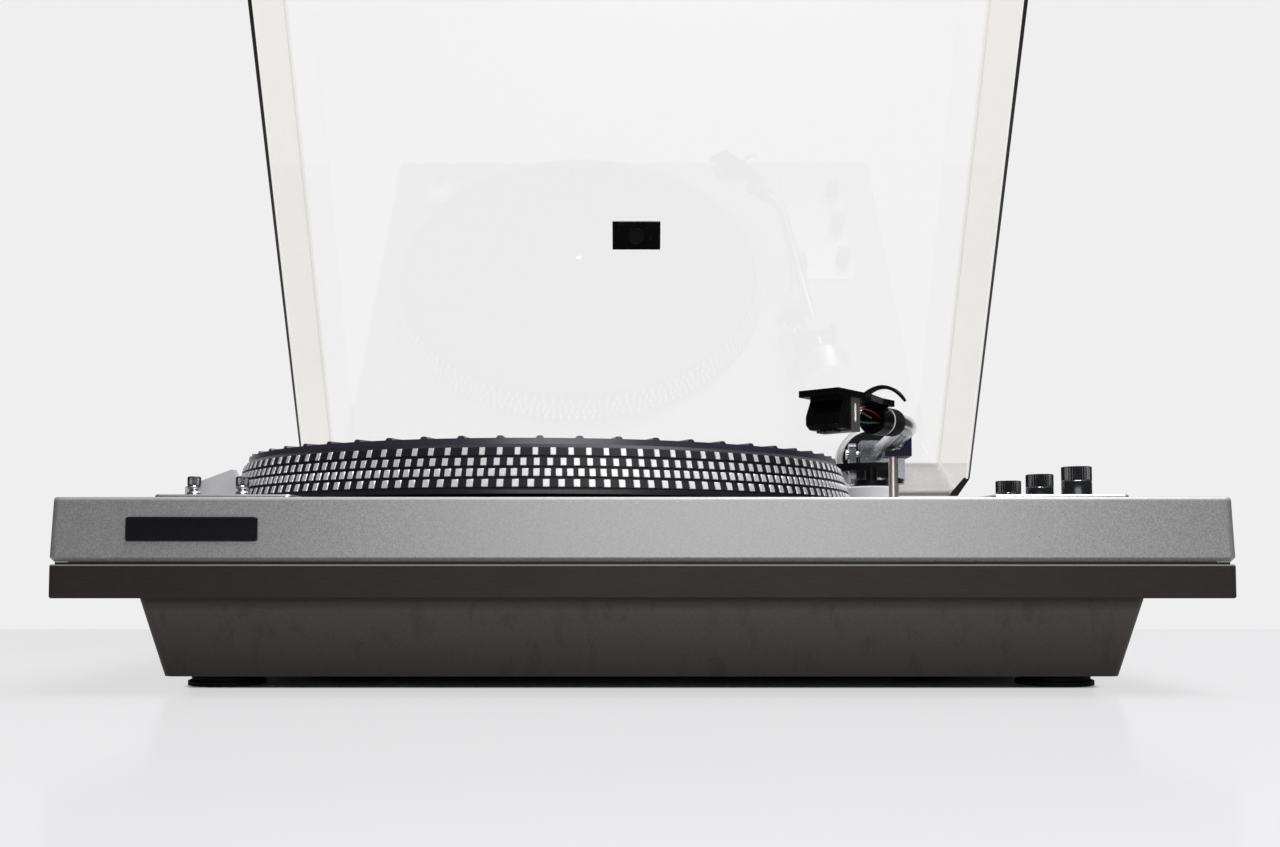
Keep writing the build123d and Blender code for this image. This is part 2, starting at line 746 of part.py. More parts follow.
def motor_housing():
    """Motor can hung under the deck by its flange."""
    outline = [
        (SLEEVE_R + SEAT_FIT, MOTOR_LOW),
        (MOTOR_R, MOTOR_LOW),
        (MOTOR_R, DECK_LOW - MOTOR_PLATE_T),
        (MOTOR_FLANGE_R, DECK_LOW - MOTOR_PLATE_T),
        (MOTOR_FLANGE_R, DECK_LOW),
        (MOTOR_R - MOTOR_WALL, DECK_LOW),
        (MOTOR_R - MOTOR_WALL, MOTOR_FLOOR),
        (MOTOR_BOSS_R, MOTOR_FLOOR),
        (MOTOR_BOSS_R, CORE_LOW),
        (SLEEVE_R + SEAT_FIT, CORE_LOW),
    ]
    can = turned(outline)
    hole = disc(SCREW_R + SEAT_FIT, DECK_LOW - MOTOR_PLATE_T, DECK_LOW)
    can -= [place * hole for place in ring_places(SCREW_COUNT, MOTOR_SCREW_RING_R)]
    return PLATTER * can


def bearing_sleeve():
    """Bearing for the shaft, closed at its lower end."""
    sleeve = disc(SLEEVE_R, MOTOR_LOW, SLEEVE_TOP)
    sleeve -= disc(SHAFT_R + RUN_FIT, MOTOR_LOW + SLEEVE_END_T, SLEEVE_TOP)
    return PLATTER * sleeve


def motor_core():
    """Laminated stator core with its poles."""
    core = disc(CORE_HUB_R, CORE_LOW, CORE_LOW + CORE_T)
    pole = block(0, CORE_R - POLE_SHOE_T / 2, -POLE_STEM_W / 2, POLE_STEM_W / 2, CORE_LOW, CORE_LOW + CORE_T)
    shoe = block(
        CORE_R - POLE_SHOE_T, CORE_R, -POLE_SHOE_W / 2, POLE_SHOE_W / 2, CORE_LOW, CORE_LOW + CORE_T
    )
    core += [place * pole for place in ring_places(POLE_COUNT, 0)]
    core += [place * shoe for place in ring_places(POLE_COUNT, 0)]
    core = core & disc(CORE_R, CORE_LOW, CORE_LOW + CORE_T)
    return PLATTER * (core - disc(SLEEVE_R + SEAT_FIT, CORE_LOW, CORE_LOW + CORE_T))


def motor_coils():
    """One winding round the stem of each pole."""
    start = CORE_R - POLE_SHOE_T - COIL_L - COIL_CLEAR
    gap = POLE_STEM_W / 2 + SEAT_FIT
    wide = gap + COIL_T
    coil = block(start, start + COIL_L, -wide, wide, CORE_LOW - COIL_T, CORE_LOW + CORE_T + COIL_T)
    coil -= block(start, start + COIL_L, -gap, gap, CORE_LOW, CORE_LOW + CORE_T)
    return [PLATTER * place * coil for place in ring_places(POLE_COUNT, 0)]


def rotor_cup():
    """Steel bell on the shaft that carries the magnet."""
    hub_low = ROTOR_Z - ROTOR_HUB_L / 2
    outline = [
        (SHAFT_R + SEAT_FIT, hub_low),
        (ROTOR_HUB_R, hub_low),
        (ROTOR_HUB_R, ROTOR_Z - ROTOR_WALL),
        (ROTOR_R - ROTOR_WALL, ROTOR_Z - ROTOR_WALL),
        (ROTOR_R - ROTOR_WALL, ROTOR_Z - ROTOR_DROP),
        (ROTOR_R, ROTOR_Z - ROTOR_DROP),
        (ROTOR_R, ROTOR_Z),
        (SHAFT_R + SEAT_FIT, ROTOR_Z),
    ]
    return PLATTER * turned(outline)


def rotor_magnet():
    """Magnet ring inside the bell."""
    outer = ROTOR_R - ROTOR_WALL - SEAT_FIT
    low = ROTOR_Z - ROTOR_DROP
    return PLATTER * tube(outer, outer - MAGNET_T, low, low + MAGNET_L)


def knob_places():
    """The three control knobs, from front to back."""
    return [Pos(KNOB_X, KNOB_FROM_FRONT + i * KNOB_PITCH, 0) for i in range(3)]


def pitch_places():
    """The two pitch knobs, from left to right."""
    return [Pos(PITCH_X + i * PITCH_PITCH, PITCH_FROM_FRONT, 0) for i in range(2)]


def panel_blank(side, length):
    """A flat panel with rounded corners on one side of the deck."""
    centre_x = side * (WIDTH / 2 - PANEL_FROM_SIDE - PANEL_W / 2)
    outline = Pos(centre_x, PANEL_FROM_FRONT + length / 2, 0) * RectangleRounded(PANEL_W, length, PANEL_R)
    panel = extrude(outline, PANEL_T)
    return chamfer(panel.faces().sort_by(Axis.Z)[-1].edges(), PANEL_EDGE)


def left_panel():
    """Panel under the strobe pod, cut to follow the platter."""
    panel = panel_blank(-1, LEFT_PANEL_L)
    panel -= PLATTER * disc(RIM_LOW_R + PANEL_PLATTER_CLEAR, 0, PANEL_T)
    return panel - [place * disc(PITCH_SHAFT_R + PASS_CLEAR, 0, PANEL_T) for place in pitch_places()]


def right_panel():
    """Panel under the three control knobs."""
    panel = panel_blank(1, RIGHT_PANEL_L)
    return panel - [place * disc(KNOB_SHAFT_R + PASS_CLEAR, 0, PANEL_T) for place in knob_places()]


def pod_run(outline, start, length):
    """Carries an outline back along the pod's skewed side, from a start behind its front."""
    way = Vector(-sin(radians(POD_SKEW)), cos(radians(POD_SKEW)), 0)
    run = extrude(Plane.XZ * make_face(outline), length / way.Y, dir=way)
    return Pos(way.X / way.Y * start, POD_FROM_FRONT + start, 0) * run


def strobe_lens():
    """Dark window on the pod's slanted face, turned to the platter's rim."""
    peak = PANEL_T + POD_PEAK_H
    right = POD_X + POD_W
    outline = Polyline(
        (POD_X + POD_PEAK_X, peak),
        (POD_X + POD_PEAK_X + LENS_T, peak),
        (right + LENS_T, PANEL_T + POD_LOW_H),
        (right, PANEL_T + POD_LOW_H),
        close=True,
    )
    return pod_run(outline, (POD_L - LENS_W) / 2, LENS_W)


def strobe_pod():
    """Wedge-shaped lamp house that rises towards the platter, with its window side turned to the rim."""
    right = POD_X + POD_W
    outline = Polyline(
        (POD_X, PANEL_T),
        (POD_X, PANEL_T + POD_LOW_H),
        (POD_X + POD_PEAK_X, PANEL_T + POD_PEAK_H),
        (right, PANEL_T + POD_LOW_H),
        (right, PANEL_T),
        close=True,
    )
    pod = pod_run(outline, 0, POD_L)
    return pod - block(POD_X - POD_W, POD_X, POD_FROM_FRONT, POD_FROM_FRONT + POD_L, 0, PANEL_T + POD_PEAK_H)


def control_knob(place):
    """Black knob with a fluted top, a ring groove and a shaft into its switch."""
    low = PANEL_T + KNOB_LIFT
    ring = low + KNOB_RING_H
    outline = [
        (0, low),
        (KNOB_R, low),
        (KNOB_R, ring),
        (KNOB_R - KNOB_RING_DEPTH, ring),
        (KNOB_R - KNOB_RING_DEPTH, ring + KNOB_RING_W),
        (KNOB_R, ring + KNOB_RING_W),
        (KNOB_R, low + KNOB_H - KNOB_DISH),
        (KNOB_R - KNOB_DISH, low + KNOB_H),
        (0, low + KNOB_H - KNOB_DISH),
    ]
    return place * (turned(outline) + disc(KNOB_SHAFT_R, DECK_LOW - SWITCH_BORE + SWITCH_H / 4, low))


def pitch_knob(place):
    """Chrome pitch knob: flared foot, thin neck and a wider cap."""
    low = PANEL_T + KNOB_LIFT
    outline = [
        (0, low),
        (PITCH_FLARE_R, low),
        (PITCH_NECK_R, low + PITCH_FLARE_H),
        (PITCH_NECK_R, low + PITCH_NECK_H),
        (PITCH_R, low + PITCH_NECK_H),
        (PITCH_R, low + PITCH_H - KNOB_DISH),
        (PITCH_R - KNOB_DISH, low + PITCH_H),
        (0, low + PITCH_H),
    ]
    return place * (turned(outline) + disc(PITCH_SHAFT_R, DECK_LOW - POT_BORE + POT_H / 4, low))


def rotary_switches():
    """Switch bodies under the deck, one below each control knob."""
    half = SWITCH_W / 2
    body = block(-half, half, -half, half, DECK_LOW - SWITCH_H, DECK_LOW)
    body -= disc(KNOB_SHAFT_R + RUN_FIT, DECK_LOW - SWITCH_BORE, DECK_LOW)
    return [place * body for place in knob_places()]


def pitch_pots():
    """Potentiometers under the deck, one below each pitch knob."""
    body = disc(POT_R, DECK_LOW - POT_H, DECK_LOW)
    body -= disc(PITCH_SHAFT_R + RUN_FIT, DECK_LOW - POT_BORE, DECK_LOW)
    return [place * body for place in pitch_places()]


def arm_base():
    """Flange and pillar with the bore for the arm's upright shaft."""
    outline = [
        (YOKE_SHAFT_R + RUN_FIT, -STEM_L),
        (STEM_R, -STEM_L),
        (STEM_R, 0),
        (ARM_BASE_R, 0),
        (ARM_BASE_R, ARM_BASE_T),
        (PILLAR_R, ARM_BASE_T),
        (PILLAR_R, PILLAR_TOP),
        (YOKE_SHAFT_R + RUN_FIT, PILLAR_TOP),
    ]
    base = turned(outline)
    hole = disc(SCREW_R + SEAT_FIT, 0, ARM_BASE_T)
    base -= [place * hole for place in ring_places(SCREW_COUNT, ARM_SCREW_RING_R, 90)]
    return Pos(ARM_X, ARM_Y, 0) * base


def screw_places():
    """Screws that pass through the deck: motor and arm base."""
    motor = [PLATTER * place for place in ring_places(SCREW_COUNT, MOTOR_SCREW_RING_R)]
    arm = [Pos(ARM_X, ARM_Y, 0) * place for place in ring_places(SCREW_COUNT, ARM_SCREW_RING_R, 90)]
    return motor + arm


def deck_screws():
    """Motor screws on the deck, and arm screws on the arm base's flange."""
    motor = screw(SCREW_R, SCREW_HEAD_R, SCREW_HEAD_T, DECK_T + MOTOR_PLATE_T)
    arm = screw(SCREW_R, SCREW_HEAD_R, SCREW_HEAD_T, DECK_T + ARM_BASE_T)
    places = screw_places()
    return [place * motor for place in places[:SCREW_COUNT]] + [
        place * Pos(0, 0, ARM_BASE_T) * arm for place in places[SCREW_COUNT:]
    ]


def gimbal_yoke():
    """Fork on an upright shaft that swings with the arm."""
    low = PILLAR_TOP + YOKE_GAP - ARM_H
    yoke = disc(YOKE_R, low, low + YOKE_T)
    yoke += disc(YOKE_SHAFT_R, -STEM_L - ARM_H, low)
    for side in (-1, 1):
        inner = side * YOKE_ARM_IN
        outer = side * (YOKE_ARM_IN + YOKE_ARM_T)
        arm = block(
            min(inner, outer),
            max(inner, outer),
            -YOKE_ARM_W / 2,
            YOKE_ARM_W / 2,
            low + YOKE_T / 2,
            YOKE_ARM_OVER,
        )
        yoke += fillet(arm.faces().sort_by(Axis.Z)[-1].edges().filter_by(Axis.X), YOKE_ARM_W / 3)
    return ARM * (yoke - along_x(PIVOT_R + SEAT_FIT, -YOKE_R * 2, YOKE_R * 2))


def pivot_screws():
    """Pivot screws whose tips enter pockets in the bearing block."""
    tip = BLOCK_W / 2 - PIVOT_TIP_IN
    outer = YOKE_ARM_IN + YOKE_ARM_T
    one = along_x(PIVOT_TIP_R, tip, BLOCK_W / 2 + PASS_CLEAR)
    one += along_x(PIVOT_R, BLOCK_W / 2 + PASS_CLEAR, outer)
    one += along_x(PIVOT_HEAD_R, outer, outer + PIVOT_HEAD_T)
    return [ARM * one, ARM * Rot(0, 0, 180) * one]


def bearing_block():
    """Block clamped on the tube, with a pocket for each pivot screw."""
    block_body = block(-BLOCK_W / 2, BLOCK_W / 2, -BLOCK_L / 2, BLOCK_L / 2, -BLOCK_H / 2, BLOCK_H / 2)
    block_body = fillet(block_body.edges().filter_by(Axis.Y), EDGE_R)
    block_body -= along_y(TUBE_R + SEAT_FIT, -BLOCK_L, BLOCK_L)
    pocket = along_x(PIVOT_TIP_R + RUN_FIT, BLOCK_W / 2 - PIVOT_POCKET, BLOCK_W / 2)
    return ARM * (block_body - pocket - Rot(0, 0, 180) * pocket)


def arm_tube():
    """Bent tube from the head's socket to just behind the pivot."""
    front = SHELL_END + COLLAR_GAP
    end_x = HEAD_X + front * sin(radians(BEND_TURN))
    end_y = HEAD_Y + front * cos(radians(BEND_TURN))
    path = FilletPolyline((0, TUBE_BACK, 0), (0, -TUBE_RUN, 0), (end_x, end_y, 0), radius=BEND_R)
    section = Plane(origin=path @ 0, z_dir=path % 0) * (Circle(TUBE_R) - Circle(TUBE_BORE_R))
    return ARM * sweep(section, path)


def weight_stub():
    """Rod behind the pivot, plugged into the tube's end."""
    stub = along_y(STUB_R, TUBE_BACK, STUB_END)
    return ARM * (stub + along_y(TUBE_BORE_R - SEAT_FIT, TUBE_BACK - STUB_PLUG, TUBE_BACK))


def counterweight():
    """Heavy turned weight with a hub that carries the force dial."""
    back = WEIGHT_FROM + WEIGHT_L
    weight = chamfer(along_y(WEIGHT_R, WEIGHT_FROM, back).edges(), WEIGHT_EDGE)
    weight += along_y(WEIGHT_HUB_R, WEIGHT_FROM - WEIGHT_HUB_L, WEIGHT_FROM)
    return ARM * (weight - along_y(STUB_R + RUN_FIT, WEIGHT_FROM - WEIGHT_HUB_L, back))


def force_dial():
    """Scale ring that turns on the weight's hub."""
    start = WEIGHT_FROM - COLLAR_GAP - DIAL_T
    dial = along_y(DIAL_R, start, start + DIAL_T)
    dial = chamfer(dial.edges(), COLLAR_GAP)
    return ARM * (dial - along_y(WEIGHT_HUB_R + RUN_FIT, start, start + DIAL_T))


def headshell():
    """Flat shell with slots, a finger lift, a dished neck and the plug for the tube."""
    half = SHELL_W / 2
    waist = SHELL_WAIST_W / 2
    outline = Polyline(
        (-half, -SHELL_FRONT),
        (half, -SHELL_FRONT),
        (half, SHELL_SHOULDER),
        (waist, SHELL_WAIST),
        (waist, SHELL_END),
        (-waist, SHELL_END),
        (-waist, SHELL_WAIST),
        (-half, SHELL_SHOULDER),
        close=True,
    )
    low = SHELL_TOP - SHELL_T
    shell = Pos(0, 0, low) * extrude(make_face(outline), SHELL_T)
    slot = Pos(0, SLOT_FROM + SLOT_L / 2, low) * SlotOverall(SLOT_L, SLOT_W, 90)
    shell -= [Pos(side * SLOT_PITCH / 2, 0, 0) * extrude(slot, SHELL_T) for side in (-1, 1)]
    shell += along_y(NECK_R, NECK_FROM, SHELL_END)
    shell -= along_y(NECK_DISH_R, NECK_FROM, NECK_FROM + NECK_DISH)
    shell += along_y(PLUG_R, SHELL_END, SHELL_END + PLUG_L)
    middle = low + SHELL_T / 2
    arch = ThreePointArc(
        (half - LIFT_WIRE_R, LIFT_FROM, middle),
        (half + LIFT_OUT / 2, LIFT_FROM, SHELL_TOP + LIFT_RISE),
        (half + LIFT_OUT, LIFT_FROM, SHELL_TOP - LIFT_TIP_DROP),
    )
    lift = sweep(Plane(origin=arch @ 0, z_dir=arch % 0) * Circle(LIFT_WIRE_R), arch)
    return HEAD * (shell + lift)


def lock_collar():
    """Ring that locks the headshell's plug in the tube."""
    start = SHELL_END + COLLAR_GAP
    collar = along_y(COLLAR_R, start, start + COLLAR_L)
    collar = chamfer(collar.edges(), COLLAR_GAP)
    return HEAD * (collar - along_y(COLLAR_BORE_R, start, start + COLLAR_L))


def cartridge_body():
    """Moulded body with a drawn-back brow, a chin and four terminal pins."""
    top = SHELL_TOP - SHELL_T
    back = CART_L - CART_FRONT
    outline = Polyline(
        (CART_BROW - CART_FRONT, top),
        (back, top),
        (back, CART_LOW),
        (CART_CHIN - CART_FRONT, CART_LOW),
        (-CART_FRONT, CART_LOW + CART_CHIN_H),
        (-CART_FRONT, CART_BROW_LOW),
        (CART_BROW - CART_FRONT, CART_BROW_TOP),
        close=True,
    )
    body = extrude(Plane.YZ * make_face(outline), CART_W / 2, both=True)
    pin = along_y(TERMINAL_R, back, back + TERMINAL_L)
    return HEAD * (body + [Pos(x, 0, z) * pin for x, z in terminal_spots()])


def terminal_spots():
    """The four terminals on the cartridge's back."""
    heights = (TERMINAL_LOW, TERMINAL_LOW + TERMINAL_RISE)
    return [(side * TERMINAL_X, z) for z in heights for side in (-1, 1)]


def cartridge_bracket():
    """Bright bracket bent round the back of the cartridge's body."""
    back = CART_L - CART_FRONT
    start = back - BRACKET_L
    half = CART_W / 2 + SEAT_FIT
    top = SHELL_TOP - SHELL_T
    low = CART_LOW - SEAT_FIT
    outer = block(-half - BRACKET_T, half + BRACKET_T, start, back, low - BRACKET_T, top)
    return HEAD * (outer - block(-half, half, start, back, low, top))


def stylus():
    """Stylus holder under the body, with its cantilever and tip."""
    start = CART_CHIN - CART_FRONT
    end = start + STYLUS_L - BRACKET_T
    holder = block(-STYLUS_W / 2, STYLUS_W / 2, start, end, CART_LOW - STYLUS_T, CART_LOW)
    rod = Edge.make_line((0, start + STYLUS_T, CART_LOW - STYLUS_T / 2), (0, 0, STYLUS_TIP))
    needle = sweep(Plane(origin=rod @ 0, z_dir=rod % 0) * Circle(CANTILEVER_R), rod)
    return HEAD * (holder + needle)


def headshell_leads():
    """Four thin leads from the terminals to the neck's contacts."""
    start = CART_L - CART_FRONT + TERMINAL_L
    end = NECK_FROM + NECK_DISH
    run = (end - start) / 3
    leads = []
    for x, z in terminal_spots():
        path = FilletPolyline(
            (x, start, z),
            (x, start + run, z),
            (x * 0.8, end - run, z * 0.6),
            (x * 0.8, end, z * 0.6),
            radius=run,
        )
        leads.append(HEAD * sweep(Plane(origin=path @ 0, z_dir=path % 0) * Circle(LEAD_R), path))
    return leads


def rest_post():
    """Bright post that carries the arm's saddle."""
    top = ARM_H - TUBE_R - SADDLE_DROP - SADDLE_T
    post = disc(POST_R, DECK_LOW, top) + disc(POST_FOOT_R, 0, POST_FOOT_T)
    return REST * Pos(0, 0, -ARM_H) * post


def rest_saddle():
    """Saddle open towards the platter, hollowed to the tube, with one upright prong behind it."""
    top = -TUBE_R - SADDLE_DROP
    inner = TUBE_R + PRONG_CLEAR
    half = SADDLE_L / 2
    right = inner + PRONG_T
    cradle = block(0, right, -half, half, top, PRONG_RISE) - along_y(TUBE_R + SADDLE_DROP, -half, half)
    cradle -= block(0, TUBE_R, -half, half, 0, PRONG_RISE)
    cradle = chamfer(cradle.faces().sort_by(Axis.Z)[-1].edges().filter_by(Axis.Y)[-1], SADDLE_EDGE)
    saddle = block(-SADDLE_LEFT, right, -half, half, top - SADDLE_T, top) + cradle
    return REST * saddle


def lift_pedestal():
    """Silver cylinder that guides the cue lift's plunger."""
    body = chamfer(disc(PEDESTAL_R, 0, PEDESTAL_H).edges().sort_by(Axis.Z)[-1], PEDESTAL_EDGE)
    return CUE * (body - disc(PLUNGER_R + RUN_FIT, PLUNGER_LOW / 2, PEDESTAL_H))


def lift_collar():
    """Black collar on top of the pedestal."""
    return CUE * tube(CUE_COLLAR_R, PLUNGER_R + RUN_FIT, PEDESTAL_H, PEDESTAL_H + CUE_COLLAR_H)


def lift_bar():
    """Plunger with a bar curved about the arm's pivot."""
    low = CUE_BAR_TOP - CUE_BAR_T
    ring = tube(CUE_BAR_OUT, CUE_BAR_IN, low, CUE_BAR_TOP)
    span = CUE_BAR_TO - CUE_BAR_FROM
    reach = CUE_BAR_OUT * 2
    edges = [(0, 0)]
    for step in range(3):
        turn = radians(CUE_BAR_FROM + span * step / 2)
        edges.append((-reach * sin(turn), -reach * cos(turn)))
    wedge = Pos(0, 0, low) * extrude(make_face(Polyline(*edges, close=True)), CUE_BAR_T)
    bar = Pos(ARM_X, ARM_Y, 0) * (ring & wedge)
    return bar + CUE * disc(PLUNGER_R, PLUNGER_LOW, CUE_BAR_TOP - CUE_BAR_T / 2)


def lid():
    """Clear lid: top, four walls, cut corners beside the hinge and a shortened back wall."""
    half = LID_W / 2
    top = LID_SEAT + LID_H
    shell = block(-half, half, LID_FRONT, LID_BACK, LID_SEAT, top)
    shell = fillet(shell.edges().filter_by(Axis.Z), LID_CORNER_R)
    shell = fillet(shell.faces().sort_by(Axis.Z)[-1].edges(), LID_EDGE_R)
    inside = block(
        LID_WALL - half,
        half - LID_WALL,
        LID_FRONT + LID_WALL,
        LID_BACK - LID_WALL,
        LID_SEAT,
        top - LID_TOP_T,
    )
    shell -= fillet(inside.edges().filter_by(Axis.Z), LID_CORNER_R - LID_WALL)
    cut = Polyline(
        (LID_BACK - LID_CUT, LID_SEAT),
        (LID_BACK, LID_SEAT),
        (LID_BACK, LID_SEAT + LID_CUT),
        close=True,
    )
    shell -= extrude(Plane.YZ * make_face(cut), half, both=True)
    slot = half - LID_CORNER_R
    shell -= block(-slot, slot, LID_BACK - LID_WALL, LID_BACK, LID_SEAT, LID_SEAT + LID_CUT)
    return LID * shell


def lid_pad():
    """Black pad with a round stud on the inside of the lid's top."""
    roof = LID_SEAT + LID_H - LID_TOP_T
    pad = block(-LID_PAD_W / 2, LID_PAD_W / 2, -LID_PAD_D / 2, LID_PAD_D / 2, roof - LID_PAD_T, roof)
    pad += disc(LID_STUD_R, roof - LID_PAD_T - LID_STUD_T, roof - LID_PAD_T)
    return LID * Pos(0, LID_BACK - LID_PAD_FROM_BACK, 0) * pad


def lid_bumpers():
    """Rubber bumpers under the lid's front rim, one near each end."""
    bumper = disc(LID_WALL / 2, LID_SEAT / 5, LID_SEAT)
    x = LID_W / 2 - LID_BUMPER_FROM_END
    return [LID * Pos(side * x, LID_FRONT + LID_WALL / 2, 0) * bumper for side in (-1, 1)]


def knuckle(width):
    """A hinge barrel on the hinge line."""
    return Pos(0, HINGE_Y, HINGE_H) * along_x(HINGE_R, -width / 2, width / 2)


def hinge_sides():
    """Where the two outer barrels of a hinge lie: from and to, on its right half."""
    return HINGE_KNUCKLE_W / 2 + HINGE_SIDE_GAP, HINGE_W / 2


def hinge_brackets():
    """Fixed leaves on the cover's back face, with the middle barrel."""
    top = HINGE_H - HINGE_R - HINGE_SIDE_GAP
    leaf = block(-HINGE_W / 2, HINGE_W / 2, DEPTH, DEPTH + HINGE_LEAF_T, top - HINGE_LEAF_DROP, top)
    tongue = HINGE_KNUCKLE_W / 2
    leaf += block(-tongue, tongue, DEPTH, DEPTH + HINGE_LEAF_T, top - HINGE_R, HINGE_H)
    leaf += knuckle(HINGE_KNUCKLE_W)
    leaf -= Pos(0, HINGE_Y, HINGE_H) * along_x(HINGE_PIN_R + SEAT_FIT, -HINGE_W, HINGE_W)
    return [Pos(side * HINGE_X, 0, 0) * leaf for side in (-1, 1)]


def hinge_pins():
    """Pins through the barrels."""
    pin = Pos(0, HINGE_Y, HINGE_H) * along_x(HINGE_PIN_R, -HINGE_W / 2, HINGE_W / 2)
    return [Pos(side * HINGE_X, 0, 0) * pin for side in (-1, 1)]


def hinge_leaves():
    """Moving leaves on the lid's back wall, cranked to the outer barrels."""
    foot_z = LID_SEAT + LID_CUT
    back = LID_BACK + HINGE_LEAF_T
    leaf = block(-HINGE_W / 2, HINGE_W / 2, LID_BACK, back, foot_z - HINGE_LEAF_T, foot_z + HINGE_LEAF_RISE)
    near, far = hinge_sides()
    crank = Polyline(
        (LID_BACK, foot_z),
        (LID_BACK, foot_z - 2 * HINGE_LEAF_T),
        (HINGE_Y - HINGE_R / 2, HINGE_H),
        (HINGE_Y, HINGE_H + HINGE_R / 2),
        (back, foot_z),
        close=True,
    )
    for start in (near, -far):
        leaf += Pos(start, 0, 0) * extrude(Plane.YZ * make_face(crank), far - near)
        leaf += Pos(start, HINGE_Y, HINGE_H) * along_x(HINGE_R, 0, far - near)
    leaf -= Pos(0, HINGE_Y, HINGE_H) * along_x(HINGE_PIN_R + RUN_FIT, -HINGE_W, HINGE_W)
    return [LID * Pos(side * HINGE_X, 0, 0) * leaf for side in (-1, 1)]


def transformer_core():
    """Laminated core with two windows, standing on the base's floor."""
    half_w = CORE_STACK_W / 2
    half_d = CORE_STACK_D / 2
    top = BASE_FLOOR + CORE_STACK_H
    core = block(-half_w, half_w, -half_d, half_d, BASE_FLOOR, top)
    window = half_w - CORE_LIMB
    for x0, x1 in ((-window, -CORE_LIMB), (CORE_LIMB, window)):
        core -= block(x0, x1, -half_d, half_d, BASE_FLOOR + CORE_LIMB / 2, top - CORE_LIMB / 2)
    return Pos(TRANSFORMER_X, TRANSFORMER_Y, 0) * core


def transformer_coil():
    """Winding round the middle limb."""
    reach = CORE_STACK_W / 2 - CORE_LIMB - WINDING_CLEAR
    half_d = CORE_STACK_D / 2
    low = BASE_FLOOR + CORE_LIMB / 2 + WINDING_CLEAR
    high = BASE_FLOOR + CORE_STACK_H - CORE_LIMB / 2 - WINDING_CLEAR
    limb = CORE_LIMB + WINDING_CLEAR / 2
    deep = half_d + reach - limb
    coil = block(-reach, reach, -deep, deep, low, high)
    coil -= block(-limb, limb, -half_d - WINDING_CLEAR / 2, half_d + WINDING_CLEAR / 2, low, high)
    return Pos(TRANSFORMER_X, TRANSFORMER_Y, 0) * coil


def board_places():
    """Pillars at the board's corners."""
    x = BOARD_W / 2 - BOARD_PILLAR_R
    y = BOARD_D / 2 - BOARD_PILLAR_R
    return [Pos(BOARD_X + sx * x, BOARD_Y + sy * y, 0) for sx in (-1, 1) for sy in (-1, 1)]


def control_board():
    """Circuit board with a row of capacitors."""
    low = BASE_FLOOR + BOARD_PILLAR_H
    board = block(-BOARD_W / 2, BOARD_W / 2, -BOARD_D / 2, BOARD_D / 2, low, low + BOARD_T)
    first = -(CAPACITOR_COUNT - 1) / 2 * CAPACITOR_PITCH
    can = disc(CAPACITOR_R, low + BOARD_T, low + BOARD_T + CAPACITOR_H)
    board += [Pos(first + i * CAPACITOR_PITCH, 0, 0) * can for i in range(CAPACITOR_COUNT)]
    return Pos(BOARD_X, BOARD_Y, 0) * board


def gland_places():
    """Cord glands in the slab's back edge."""
    middle = (SLAB_TOP + SLAB_LOW) / 2
    return [Pos(GLAND_X + i * GLAND_PITCH, DEPTH, middle) for i in range(2)]


def cord_glands():
    """Bushes where the mains lead and the signal lead come out."""
    gland = along_y(GLAND_R, -GLAND_L, 0) + along_y(GLAND_FLANGE_R, 0, GLAND_FLANGE_T)
    gland -= along_y(GLAND_HOLE_R, GLAND_FLANGE_T - GLAND_HOLE_DEPTH, GLAND_FLANGE_T)
    return [place * gland for place in gland_places()]


def nodes():
    """Every piece by the name of its node."""
    knobs = knob_places()
    pitch = pitch_places()
    return {
        "feet": feet(),
        "foot_screws": foot_screws(),
        "base_tub": base_tub(),
        "bottom_cover": bottom_cover(),
        "plinth_slab": plinth_slab(),
        "isolators": isolators(),
        "top_cover": top_cover(),
        "cover_bolts": cover_bolts(),
        "name_plate": name_plate(),
        "left_panel": left_panel(),
        "strobe_pod": strobe_pod(),
        "strobe_lens": strobe_lens(),
        "right_panel": right_panel(),
        "motor_housing": motor_housing(),
        "bearing_sleeve": bearing_sleeve(),
        "motor_core": motor_core(),
        "motor_coils": motor_coils(),
        "deck_screws": deck_screws(),
        "rotary_switches": rotary_switches(),
        "pitch_pots": pitch_pots(),
        "transformer_core": transformer_core(),
        "transformer_coil": transformer_coil(),
        "control_board": control_board(),
        "cord_glands": cord_glands(),
        "arm_base": arm_base(),
        "lift_pedestal": lift_pedestal(),
        "lift_collar": lift_collar(),
        "rest_post": rest_post(),
        "rest_saddle": rest_saddle(),
        "hinge_brackets": hinge_brackets(),
        "hinge_pins": hinge_pins(),
        "platter": platter(),
        "mat": mat(),
        "spindle": spindle(),
        "rotor_cup": rotor_cup(),
        "rotor_magnet": rotor_magnet(),
        "gimbal_yoke": gimbal_yoke(),
        "pivot_screws": pivot_screws(),
        "arm_tube": arm_tube(),
        "bearing_block": bearing_block(),
        "weight_stub": weight_stub(),
        "headshell": headshell(),
        "cartridge_body": cartridge_body(),
        "cartridge_bracket": cartridge_bracket(),
        "stylus": stylus(),
        "headshell_leads": headshell_leads(),
        "lock_collar": lock_collar(),
        "counterweight": counterweight(),
        "force_dial": force_dial(),
        "lift_bar": lift_bar(),
        "start_knob": control_knob(knobs[0]),
        "speed_knob": control_knob(knobs[1]),
        "cue_knob": control_knob(knobs[2]),
        "pitch_knob_left": pitch_knob(pitch[0]),
        "pitch_knob_right": pitch_knob(pitch[1]),
        "lid": lid(),
        "lid_pad": lid_pad(),
        "lid_bumpers": lid_bumpers(),
        "hinge_leaves": hinge_leaves(),
    }


os.makedirs("parts", exist_ok=True)
for name, piece in nodes().items():
    solids = piece if isinstance(piece, list) else [piece]
    moved = [WORLD * solid for one in solids for solid in one.solids()]
    export_step(Compound(moved) if len(moved) > 1 else moved[0], f"parts/{name}.step")
